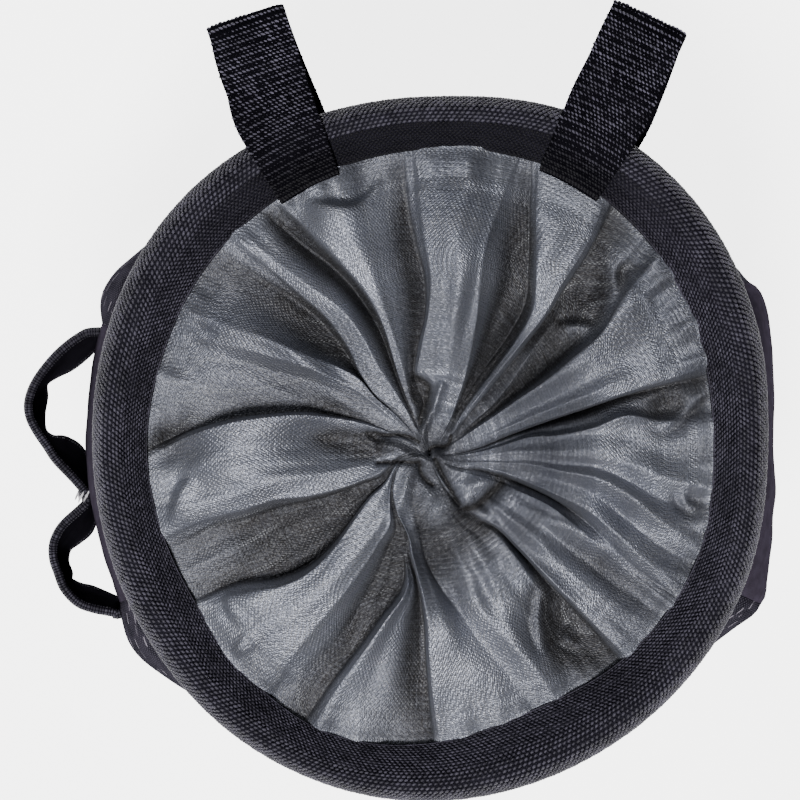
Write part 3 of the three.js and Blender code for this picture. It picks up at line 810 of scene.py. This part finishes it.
def makeCollar(material):
    points, paintedShade, radial = collarSurface()
    rows, columns = points.shape[:2]

    # the weave's own lengths: along each ring, and out along the folds
    across = np.linalg.norm(np.roll(points, -1, axis=1) - points, axis=-1)
    rightU = np.cumsum(across, axis=1)
    rightU = rightU - rightU[:, columns // 2 : columns // 2 + 1]
    leftU = rightU - across

    face = gridFaces(rows, columns, closeColumns=True)
    uv = np.stack(
        [
            np.stack([leftU[:-1], radial[:-1]], -1),
            np.stack([leftU[1:], radial[1:]], -1),
            np.stack([rightU[1:], np.roll(radial, -1, 1)[1:]], -1),
            np.stack([rightU[:-1], np.roll(radial, -1, 1)[:-1]], -1),
        ],
        axis=2,
    ).reshape(-1, 4, 2)
    made = meshFrom("collarCloth", points, face, uv)
    # the painted shade goes with the mesh as a point attribute
    layer = made.data.attributes.new("paintedShade", "FLOAT", "POINT")
    layer.data.foreach_set("value", paintedShade.astype(np.float32).reshape(-1))
    dressed(made, "closure_collar", material)
    return made


# lengths in millimetres, scales of noise for each metre, colours in linear light
ripstop = {
    "twill": (0.62, 0.46),  # slant and pitch of the fine lines
    "twillWander": 2.0,  # radians for each unit of wander
    "mesh": 0.9,  # pitch of the coarser threads
    "meshWander": 0.12,
    "wander": (55, 3, 2.4),  # scale, detail and amount
    "streak": (2.6, 0.12),  # how fast the streaks change across and along a thread
    "weft": (0.2, 2.2),
    "ripPitch": 6.1,  # the strong double threads
    "ripHalfGap": 0.26,
    "ripEdge": (0.04, 0.15),
    "ripStep": 0.56,
    "sparkle": 2100,
    "grain": 1300,
    "slow": 26,
    "lit": ((0.118, 0.126, 0.16, 1), (0.235, 0.249, 0.303, 1)),
    # painted shade: the colour of the cloth that lies low in the folds
    "shut": (0.017, 0.016, 0.0178, 1),
    # painted glints, and the real pale rip threads, in this colour
    "glintAndRipThread": (0.38, 0.39, 0.41, 1),
    "paleThread": (0.34, 0.33, 0.33, 1),
    "heights": {"twill": 0.4, "mesh": 1.6, "rip": 0.9, "grain": 1.6, "threads": 1.2},
    "bump": (0.00006, 0.85),
    "shine": 0.5,
    "metal": 0.65,
}


def ripstopCloth():
    f = Finish("ripstopCloth")
    u, v = f.across()
    # painted shade of the folds' valleys, read from the collar's attribute
    paintedShade = f.node("ShaderNodeAttribute", {"attribute_name": "paintedShade"}, output=2)
    scale, detail, amount = ripstop["wander"]
    wander = f.noise(scale, detail) * amount
    slant, pitch = ripstop["twill"]
    twill = (u + v * slant + wander * (ripstop["twillWander"] * pitch / (2 * math.pi))).wave(pitch)
    threadU = (u + wander * ripstop["meshWander"]).wave(ripstop["mesh"])
    threadV = v.wave(ripstop["mesh"])
    streak, weft = (
        f.noise(1.0, detail, 0.6, f.point(u * ripstop[name][0], v * ripstop[name][1]))
        for name, detail in (("streak", 2), ("weft", 1))
    )
    lineU = ((u / ripstop["ripPitch"]) % 1.0 - 0.5).abs() * ripstop["ripPitch"]
    ripU = 1 - (lineU - ripstop["ripHalfGap"]).abs().ramp(*ripstop["ripEdge"])
    rip = ripU * v.wave(ripstop["ripStep"]).ramp(-0.3, 0.7) * f.noise(48, 1).ramp(0.48, 0.6)
    sparkle = f.noise(ripstop["sparkle"], 1).ramp(0.46, 0.76)
    grain = f.noise(ripstop["grain"], 2).ramp(0.3, 0.7)
    lit = f.colour(*ripstop["lit"], f.noise(ripstop["slow"], 2).ramp(0.32, 0.68))
    threads = (streak * 0.6 + weft * 0.4).ramp(0.25, 0.75)
    # painted shade: the cloth turns to the shaded colour where it lies low, mixed with the real streaks of
    # the threads
    paintedShadeAndStreaks = (paintedShade * 0.92 + (threads - 0.5) * 0.3).most(0).least(1)
    base = f.colour(lit, ripstop["shut"], paintedShadeAndStreaks)
    # painted glints from the sparkle noise, fewer in the painted shade, and the real pale rip threads
    base = f.colour(base, ripstop["glintAndRipThread"], (sparkle * (0.3 - paintedShade * 0.14)).most(rip * 0.65))
    mesh = (threadU * threadV).ramp(-0.2, 0.9)
    # the pale mesh threads show less in the painted shade
    meshShown = mesh * f.noise(160, 2).ramp(0.25, 0.7) * (0.4 - paintedShade * 0.22)
    base = f.colour(base, ripstop["paleThread"], meshShown)
    relief = {"twill": twill, "mesh": mesh, "rip": rip, "grain": grain, "threads": threads}
    height = sum((relief[name] * share for name, share in ripstop["heights"].items()), 0.0)
    rough = 0.42 + grain * 0.08 + paintedShade * 0.2
    return f.cloth(base, rough, height, *ripstop["bump"], ripstop["shine"], ripstop["metal"])


def plainDark(name, colour, roughness=0.8, pitch=0.7, lift=0.0001):
    f = Finish(name)
    u, v = f.across()
    noise = f.noise(160, 3)
    weave = u.wave(pitch) * v.wave(pitch)
    base = f.colour(colour, brighter(colour, 1.5), noise.ramp(0.35, 0.65))
    base = f.colour(base, brighter(colour, 2.6), weave.ramp(0.1, 0.9) * 0.6)
    return f.cloth(base, noise * 0.1 + roughness, weave, lift, 0.8)


jacquard = {
    "rowPitch": 1.9,
    "rowShift": 2.3,  # from one row of dashes to the next
    "dashPitch": 5.2,
    "dashHalf": (0.2, 0.09),  # half the dash, as shares of its pitch and of the row's
    "dashSlant": 0.35,
    "dotPitch": 0.8,
    "ground": ((0.009, 0.0085, 0.012, 1), (0.02, 0.018, 0.025, 1)),
    "dot": (0.075, 0.07, 0.09, 1),
    "dash": (0.19, 0.175, 0.205, 1),
}


def jacquardCloth():
    # fine dots on a dark ground, with short pale dashes in slanting rows
    f = Finish("jacquardCloth")
    u, v = f.across()
    pitch, rowPitch = jacquard["dashPitch"], jacquard["rowPitch"]
    row = (v / rowPitch).floor()
    shifted = u + row * jacquard["rowShift"]
    halfLong, halfWide = jacquard["dashHalf"]
    dash = ((shifted / pitch % 1.0) - 0.5).abs().below(halfLong)
    dash = dash * (((v + u * jacquard["dashSlant"]) / rowPitch % 1.0) - 0.5).abs().below(halfWide)
    chosen = f.noise(1.0, 0, 0.5, f.point((shifted / pitch).floor() * 3.1, row * 1.7)).ramp(0.46, 0.56)
    dots = (u.wave(jacquard["dotPitch"]) * v.wave(jacquard["dotPitch"])).ramp(0.1, 0.8)
    noise = f.noise(300, 3)
    base = f.colour(*jacquard["ground"], noise.ramp(0.35, 0.65))
    base = f.colour(base, jacquard["dot"], dots * 0.6)
    base = f.colour(base, jacquard["dash"], dash * chosen * 0.9)
    height = dots * 0.5 + dash * chosen + noise * 0.5
    return f.cloth(base, noise * 0.15 + 0.7, height, 0.0001, 0.7)


def twillCloth():
    f = Finish("plainCloth")
    u, v = f.across()
    twill = (u + v).wave(0.5)
    noise = f.noise(500, 3)
    base = f.colour((0.026, 0.0215, 0.031, 1), (0.034, 0.0285, 0.042, 1), noise.ramp(0.3, 0.7))
    return f.cloth(base, noise * 0.1 + 0.62, twill * 0.5 + noise, 0.00005, 0.7)


def yarn(name, colour, roughness=0.55, shine=0.25, paintedShadeNear=None):
    # the last argument paints shade about a point: the point, the distances from it where the yarn is
    # darkest and palest, and the share of colour left there
    f = Finish(name)
    noise = f.noise(700, 2)
    slow = f.noise(120, 2)
    base = f.colour(colour, brighter(colour, 3), (noise * 0.6 + slow * 0.4).ramp(0.35, 0.7))
    if paintedShadeNear:
        point, near, far, share = paintedShadeNear
        away = f.node("ShaderNodeVectorMath", {"operation": "DISTANCE"}, {0: f.place(), 1: point}, output=1)
        # painted shade: darker nearer the point
        base = f.colour(brighter(colour, share), base, away.ramp(near, far))
    fibres = f.noise(3800, 1)
    return f.cloth(base, noise * 0.15 + roughness, fibres, 0.00012, 0.5, shine)


rim = {
    "stations": 400,
    "sides": 40,
    "grainPitch": 1.08,  # along the tape
    "rowPitch": 0.74,
    "firstRow": 0.5,  # millimetres from the seam with the body
    "slant": 0.45,
    "grainLift": 0.08,
    "middleInset": 6.0,  # from the rim's reach to the middle of its section
    "belts": [("rimWeaveOuter", 0, 20, (1.2, 0.66, 0.55)), ("rimWeaveInner", 20, 35, (1.0, 0.6, 0.4))],
}
# inset over the rim's width, drop over its depth, all the way round the section
rimSection = [
    (0.0, 0.5), (0.06, 0.2), (0.25, 0.0), (0.5, 0.06), (0.75, 0.27), (1.0, 0.6),
    (0.96, 0.76), (0.7, 0.9), (0.38, 1.0), (0.1, 0.86),
]


def rimPoints(bearing, t):
    # points of the rim's skin: t runs once round the section
    bearing, t = np.broadcast_arrays(np.asarray(bearing, float), np.asarray(t, float))
    turns = np.arange(len(rimSection)) / len(rimSection)
    inset = curveThrough(turns, [row[0] for row in rimSection], t, 1.0)
    drop = curveThrough(turns, [row[1] for row in rimSection], t, 1.0)
    width = rimReach(bearing) - rimInnerReach(bearing)
    return polar(bearing, rimReach(bearing) - inset * width, bag["height"] - drop * bag["rimDepth"])


def makeRim(material, grainMaterials):
    bearing = np.linspace(0, 360, rim["stations"], endpoint=False)
    t = np.linspace(0, 1, rim["sides"], endpoint=False)
    points = rimPoints(bearing[:, None], t[None, :])
    around = np.radians(np.append(bearing, 360)) * bag["rimRadius"]
    side = np.linalg.norm(np.roll(points, -1, 1) - points, axis=-1)[0]
    down = np.concatenate([[0], np.cumsum(side)])
    u, v = np.meshgrid(around, down, indexing="ij")
    faces = gridFaces(rim["stations"], rim["sides"], closeRows=True, closeColumns=True)
    made = meshFrom("rimTape", points, faces, gridUv(u, v))
    turnedOutward(made)
    dressed(made, "rim_binding", material)

    # woven rows: from the seam under the outer edge, over the crest and down to the cloth
    fine = np.linspace(-0.1, 0.5, 400)
    section = rimPoints(0.0, fine)
    run = runAlong(section)
    count = int(2 * math.pi * bag["rimRadius"] / rim["grainPitch"])
    for (name, first, last, size), worn in zip(rim["belts"], grainMaterials):
        laid = []
        for row in range(first, last):
            at = np.interp(rim["firstRow"] + row * rim["rowPitch"], run, fine)
            angle = (np.arange(count) + 0.5 * (row % 2)) * 360 / count
            here = rimPoints(angle, at)
            ahead, up = rimPoints(angle + 0.3, at), rimPoints(angle, at + 0.01)
            aim = ahead - here
            facing = unit(np.cross(up - here, aim))
            middle = here.copy()
            middle[:, :2] *= 1 - rim["middleInset"] / bag["rimRadius"]
            middle[:, 2] = bag["height"] - 0.5 * bag["rimDepth"]
            facing *= np.sign(np.sum(facing * (here - middle), axis=-1, keepdims=True))
            slanted = aim + rim["slant"] * np.cross(facing, aim)
            laid.append((here + facing * rim["grainLift"], slanted, facing))
        grainsOn(name, laid, size, worn, 5, 3, 0.16)
    return made


body = {
    "girth": 440.0,  # about the way round, which shares out the columns
    "hem": (6.0, 8.0),  # the folds start this far from the seams and from the ends
    "foldHeight": 0.5,
    "baseSides": 160,
    "baseRings": 14,
    "baseRound": 0.9,  # the rounded edge of the base
    "columnWidth": 1.5,
    "rowHeight": 2.0,
    "seamTuck": 0.1,
    "panels": [
        ("sidePanelRight", "side_panel_right", -26, 27),
        ("backPanel", "back_panel", 27, 160),
        ("sidePanelLeft", "side_panel_left", 160, 207),
        ("frontPanel", "front_panel", 207, 334),
    ],
}


def makePanel(name, node, low, high, material):
    columns = int((high - low) / 360 * body["girth"] / body["columnWidth"])
    rows = int((bodyTop - bodyBottom) / body["rowHeight"])
    tucked = math.degrees(body["seamTuck"] / bag["bodyRadius"])
    bearing = np.linspace(low - tucked, high + tucked, columns)[None, :]
    z = np.linspace(bodyBottom, bodyTop, rows)[:, None]
    reach = bodyReach(bearing, z)
    fromSeam = np.minimum(bearing - low, high - bearing) / 360 * body["girth"]
    fromEnd = np.minimum(z - bodyBottom, bodyTop - z)
    inside = eased(fromSeam, 0, body["hem"][0]) * eased(fromEnd, 0, body["hem"][1])
    fold = softNoise(11, bearing / 9, z / 18) + 0.5 * softNoise(12, bearing / 4, z / 9)
    pulledIn = 0.5 * (1 - eased(fromSeam, 0, 2.5))
    outer = polar(bearing, reach - pulledIn + body["foldHeight"] * fold * inside, z)
    inner = polar(bearing, reach - bag["wall"], z)
    u = np.broadcast_to(np.radians(bearing) * bag["bodyRadius"], reach.shape)
    v = np.broadcast_to(z, reach.shape)
    return dressed(shellFrom(name, outer, inner, u, v), node, material)


def makeBase(material):
    sides, rings = body["baseSides"], body["baseRings"]
    rounded = body["baseRound"]
    bearing = np.linspace(0, 360, sides, endpoint=False)
    reach = bodyReach(bearing, 0)
    # from the middle of the underside, round the edge, to the middle of the upper side
    steps = [(s, 0.0) for s in np.linspace(0.02, 0.985, rings)]
    steps += [(0.995, rounded / 3), (1.0, rounded)]
    steps += [(1.0, bag["base"] - rounded), (0.995, bag["base"] - rounded / 3)]
    steps += [(s, bag["base"]) for s in np.linspace(0.985, 0.02, rings)]
    points = np.stack([polar(bearing, reach * s, z) for s, z in steps])
    u, v = points[..., 0], points[..., 1]
    u, v = (np.concatenate([x, x[:, :1]], axis=1) for x in (u, v))
    faces = gridFaces(len(steps), sides, closeColumns=True)
    made = meshFrom("basePanel", points, faces, gridUv(u, v))
    turnedOutward(made, [range(first, first + sides) for first in (0, (len(steps) - 1) * sides)])
    return dressed(made, "base_panel", material)


webbing = {
    "width": 15.3,
    "softened": 6,
    "turnBack": 0.5,  # share of the length where the lower layer starts
    "thickness": 1.6,
    "reach": 22.0,
    "foldRadius": 1.2,
    "seatDrop": 19.0,
    "tail": 8.0,
    "aside": 1.7,
    "stub": 1.6,
    "stubLift": 0.9,
    "columns": 24,
    "stations": 240,
    "ribPitch": 0.68,
    "ribDepths": (0.02, 0.26),  # of every other rib
    "grainPitch": 0.8,
    "grain": (1.0, 0.44, 0.7),  # across the webbing, along it, and off it
    "slant": 0.55,
    "loops": [
        ("beltLoopLeft", "belt_loop_left", 115, 108.1),
        ("beltLoopRight", "belt_loop_right", 62, 64.8),
    ],
}
seamDrop = 0.66 * bag["rimDepth"]


def webbingLine(bearing):
    # what the webbing lies on at one bearing: out past the rim, up from its crest, how far it is sewn
    band = float(rimReach(bearing) - rimInnerReach(bearing))
    line = [(-band - webbing["stub"], -seamDrop + webbing["stubLift"], 0)]
    crown = [(0.25, 0.0), (0.5, 0.06), (0.75, 0.27), (1.0, 0.6)]
    line += [(-inset * band, -drop * bag["rimDepth"], 0) for inset, drop in reversed(crown)]
    line += [(0, 0, 0), (webbing["reach"] / 2, 0, 0)]
    for n in range(7):
        angle = math.pi * n / 6
        fold = webbing["foldRadius"]
        out = webbing["reach"] - 2 * fold + fold * math.sin(angle)
        line.append((out, -fold * (1 - math.cos(angle)), 0))
    for share in (0, 0.33, 0.67, 1):
        drop = webbing["seatDrop"] + share * webbing["tail"]
        line.append((float(bodyReach(bearing, bag["height"] - drop) - rimReach(bearing)), -drop, 1))
    return np.array(line)


def makeBeltLoop(name, node, bearing, heading, material, grainMaterial):
    width, count = webbing["width"], webbing["stations"]
    shares = np.linspace(-0.5, 0.5, webbing["columns"])
    foot = polar(bearing, float(rimReach(bearing)), 0)
    ahead, side = polar(heading, 1, 0), polar(heading - 90, 1, 0)
    sheets = {"outer": [], "inner": []}
    turnBack = webbing["turnBack"]
    for share in shares:
        across = share * width
        turned = bearing - math.degrees(across / float(rimReach(bearing)))
        line = webbingLine(turned)
        line, run = evenly(line, runAlong(line[:, :2]), count)
        line = softened(line, webbing["softened"])
        tangent = unit(np.gradient(line[:, :2], axis=0))
        away = np.stack([-tangent[:, 1], tangent[:, 0]], axis=-1)
        edge = 1 - (2 * abs(share)) ** 8
        for key, lift in (("outer", bag["gap"] + webbing["thickness"]), ("inner", bag["gap"])):
            middle = bag["gap"] + webbing["thickness"] / 2
            height = middle + (lift - middle) * (0.55 + 0.45 * edge)
            out, up = (line[:, :2] + away * height).T
            sewn = line[:, 2]
            offset = across + webbing["aside"] * (eased(run / run[-1], turnBack, 1) - 0.35)
            turnedHere = bearing - np.degrees(offset / float(rimReach(bearing)))
            onRim = polar(turnedHere, rimReach(turnedHere) + out, bag["height"] + up)
            straight = foot + ahead * out[:, None] + side * offset[:, None]
            straight[:, 2] = bag["height"] + up
            leaving = (eased(out, 0, webbing["reach"] / 2) * (1 - sewn))[:, None]
            sheets[key].append(mixed(onRim, straight, leaving))
    outer, inner = (np.stack(sheets[key], axis=1) for key in ("outer", "inner"))
    u = np.broadcast_to(run[:, None], outer.shape[:2])
    v = np.broadcast_to(shares * width, outer.shape[:2])
    made = dressed(shellFrom(name, outer, inner, u, v), node, material)

    # cross ribs of the weave, every other one lower
    laid = []
    ribs = int(run[-1] / webbing["ribPitch"])
    across = int(width / webbing["grainPitch"])
    along, normal = directions(outer)
    normal *= np.sign(np.sum(normal * (outer - inner)))
    for rib in range(ribs):
        row = (rib + 0.5) / ribs * (count - 1)
        columns = (np.arange(across) + 0.5) / across * (len(shares) - 1)
        shift = 0.4 * (rib % 2 - 0.5) * (len(shares) - 1) / across
        columns = np.clip(columns + shift, 0, len(shares) - 1)
        i, j = int(round(row)), np.round(columns).astype(int)
        low, first = np.floor(columns).astype(int), int(row)
        high = np.minimum(low + 1, len(shares) - 1)
        between = mixed(outer[first], outer[first + 1], row - first)
        spot = mixed(between[low], between[high], (columns - low)[:, None])
        aim = np.cross(normal[i, j], along[i, j]) + webbing["slant"] * along[i, j]
        laid.append((spot - webbing["ribDepths"][rib % 2] * normal[i, j], aim, normal[i, j]))
    grainsOn(name + "Weave", laid, webbing["grain"], grainMaterial, 5, 3, 0.24)
    return made


strap = {
    "width": 20.0,
    "thickness": 1.8,
    "fine": 1200,
    "softened": 60,
    "tackRange": (185, 191),  # the bearings between which the tape is tacked down
    "endTuck": 3.0,  # how far the two ends run in under the seams
    "endShare": 0.035,  # of the length, over which they do
    "drop": 30.0,
    "stations": 320,
    "levels": 26,
    "ribPitch": 0.46,
    "cordLevels": (0, 1, 2, -1, -2, -3),  # the levels that carry ribs, at both edges
    "grain": (0.95, 0.46, 0.7),
    "grainSunk": 0.3,
    "slant": 0.25,
}
tack = {
    "bearing": 188.4,
    "above": 5,
    "firstReach": 69.6,
    "stepOut": 0.55,
    "lift": 0.25,
    "beside": 9,
    "firstDrop": 0.6,
    "stepDown": 1.9,
    "offBody": 2.3,
    "thread": (2.0, 0.42, 0.36),
}
# bearing and reach of the tape's middle along its upper edge, then along its lower edge, from tack to tack
strapUpper = [
    (160.2, 70.0), (162.8, 73.5), (165.8, 76.6), (168.9, 79.0), (171.8, 80.7), (174.4, 81.3), (176.5, 80.7),
    (178.5, 79.0), (180.5, 77.0), (182.5, 75.4), (185.2, 72.6), (187.5, 70.6), (189.5, 69.4),
    (190.8, 72.2), (192.5, 76.0), (194.6, 78.4), (196.9, 79.3), (199.0, 79.3), (201.5, 79.2), (204.3, 77.8),
    (206.2, 75.4), (208.1, 72.2), (209.2, 70.9),
]
strapLower = [
    (160.4, 69.8), (163.2, 71.6), (166.0, 73.6), (168.2, 76.0), (169.8, 79.0), (171.2, 80.9), (173.2, 80.5),
    (175.8, 80.8), (178.3, 80.4), (179.4, 78.4), (179.5, 75.6), (181.5, 72.2), (187.5, 70.4),
    (191.0, 70.6), (194.4, 72.6), (195.6, 75.6), (196.3, 78.2), (198.1, 79.6), (199.9, 79.6), (200.9, 80.2),
    (202.4, 78.4), (203.6, 76.2), (206.8, 72.6), (208.8, 70.8),
]


def alongStrap(table):
    # the edge as a dense line, with the middle tack half way through
    low, high = strap["tackRange"]
    middle = int(np.argmin([row[1] + 5 * (not low < row[0] < high) for row in table]))
    halves = []
    for part in (table[: middle + 1], table[middle:]):
        turns = np.linspace(0, 1, len(part))
        fine = np.linspace(0, 1, strap["fine"] // 2)
        columns = [curveThrough(turns, [row[k] for row in part], fine) for k in (0, 1)]
        halves.append(np.stack(columns, axis=-1))
    line = np.concatenate([halves[0], halves[1][1:]])
    return softened(line, strap["softened"])


def makeStrap(material, grainMaterial):
    upper, lower = alongStrap(strapUpper), alongStrap(strapLower)
    top = bag["height"] - strap["drop"]
    down = np.linspace(0, 1, strap["levels"])
    outer, inner, runs = [], [], []
    for share in down:
        z = top - share * strap["width"]
        line = mixed(upper, lower, share)
        fromEnd = np.minimum(np.arange(len(line)), np.arange(len(line))[::-1]) / len(line)
        clear = bodyReach(line[:, 0], z) + strap["thickness"] / 2
        tucked = strap["endTuck"] * (1 - eased(fromEnd, 0, strap["endShare"]))
        path = polar(line[:, 0], np.maximum(line[:, 1], clear) - tucked, z)
        path, at = evenly(path, runAlong(path), strap["stations"])
        tangent = np.gradient(path, axis=0)
        away = unit(np.stack([tangent[:, 1], -tangent[:, 0], 0 * at], axis=-1))
        nearEdge = np.minimum(share, 1 - share) * strap["width"]
        cord = 0.55 + 0.45 * math.exp(-((nearEdge - 0.9) / 0.8) ** 2)
        outer.append(path + away * strap["thickness"] / 2 * cord)
        inner.append(path - away * strap["thickness"] / 2 * cord)
        runs.append(at)
    outer, inner = np.stack(outer), np.stack(inner)
    u = np.stack(runs)
    v = np.broadcast_to((down * strap["width"])[:, None], u.shape)
    made = dressed(shellFrom("brushStrap", outer, inner, u, v), "brush_strap", material)

    # corded edges: rows of small ribs along both edges, on both faces
    laid = []
    ribs = int(u[0, -1] / strap["ribPitch"])
    at = (np.arange(ribs) + 0.5) / ribs * (strap["stations"] - 1)
    station = np.round(at).astype(int)
    for face, other in ((outer, inner), (inner, outer)):
        for level in strap["cordLevels"]:
            here = face[level, station]
            away = unit(here - other[level, station])
            aim = np.array([0, 0, 1]) + strap["slant"] * np.gradient(face[level], axis=0)[station]
            laid.append((here - strap["grainSunk"] * away, aim, away))
    grainsOn("strapCords", laid, strap["grain"], grainMaterial, 5, 3)
    return made


makeStage()
print("stage made")

darkTape = plainDark("bindingTape", (0.0085, 0.008, 0.0115, 1), 0.75, 1.0, 0.00025)
tapeGrain = yarn("tapeGrain", (0.017, 0.0158, 0.0225, 1), 0.5, 0.3)
# painted shade: the inner rim grains darker within 30 mm of the crest at the back, where the loops stand,
# fading out by 65 mm
paintedShadeNearLoops = ((0, 0.07, 0.15), 0.03, 0.065, 0.3)
innerGrain = yarn("tapeGrainInner", (0.0215, 0.02, 0.0275, 1), 0.6, 0.15, paintedShadeNearLoops)
makeRim(darkTape, (tapeGrain, innerGrain))
print("rim made")

makeCollar(ripstopCloth())
print("collar made")

dotted, plain = jacquardCloth(), twillCloth()
for name, node, low, high in body["panels"]:
    isSide = node.startswith("side")
    slot, cloth = ("plain_cloth", plain) if isSide else ("jacquard_cloth", dotted)
    makePanel(name, node, low, high, cloth)
makeBase(plainDark("baseCloth", (0.025, 0.024, 0.03, 1)))
print("body made")

loopCloth = plainDark("webbingCloth", (0.0025, 0.0023, 0.0034, 1))
# painted shade: the webbing grains darken to 0.18 of their colour within 158 mm of the middle of the base,
# where the webbing lies lower and further in
webbingGrain = yarn("webbingGrain", (0.037, 0.0345, 0.048, 1), 0.6, 0.2, ((0, 0, 0), 0.158, 0.172, 0.18))
for name, node, bearing, heading in webbing["loops"]:
    makeBeltLoop(name, node, bearing, heading, loopCloth, webbingGrain)
makeStrap(plainDark("strapTape", (0.006, 0.0055, 0.0078, 1), 0.5, 0.5, 0.00005), tapeGrain)

# bar tack that holds the middle of the strap: across its upper edge, then down its face
paleThread = yarn("paleThread", (0.28, 0.27, 0.29, 1), 0.5, 0.3)
strapTop = bag["height"] - strap["drop"]
tackBearing = tack["bearing"]
sideways, outward = polar(tackBearing - 90, 1, 0), polar(tackBearing, 1, 0)
stitches = []
for n in range(tack["above"]):
    reach = tack["firstReach"] + tack["stepOut"] * n
    spot = polar(tackBearing + 0.5 * (n % 2), reach, strapTop + tack["lift"])
    stitches.append((spot, polar(tackBearing + 60, 1, 0), (0, 0, 1)))
for n in range(tack["beside"]):
    z = strapTop - tack["firstDrop"] - n * tack["stepDown"]
    reach = float(bodyReach(tackBearing, z)) + tack["offBody"]
    stitches.append((polar(tackBearing, reach, z), sideways, outward))
grainsOn("whiteStitches", stitches, tack["thread"], paleThread)
print("loops and strap made")
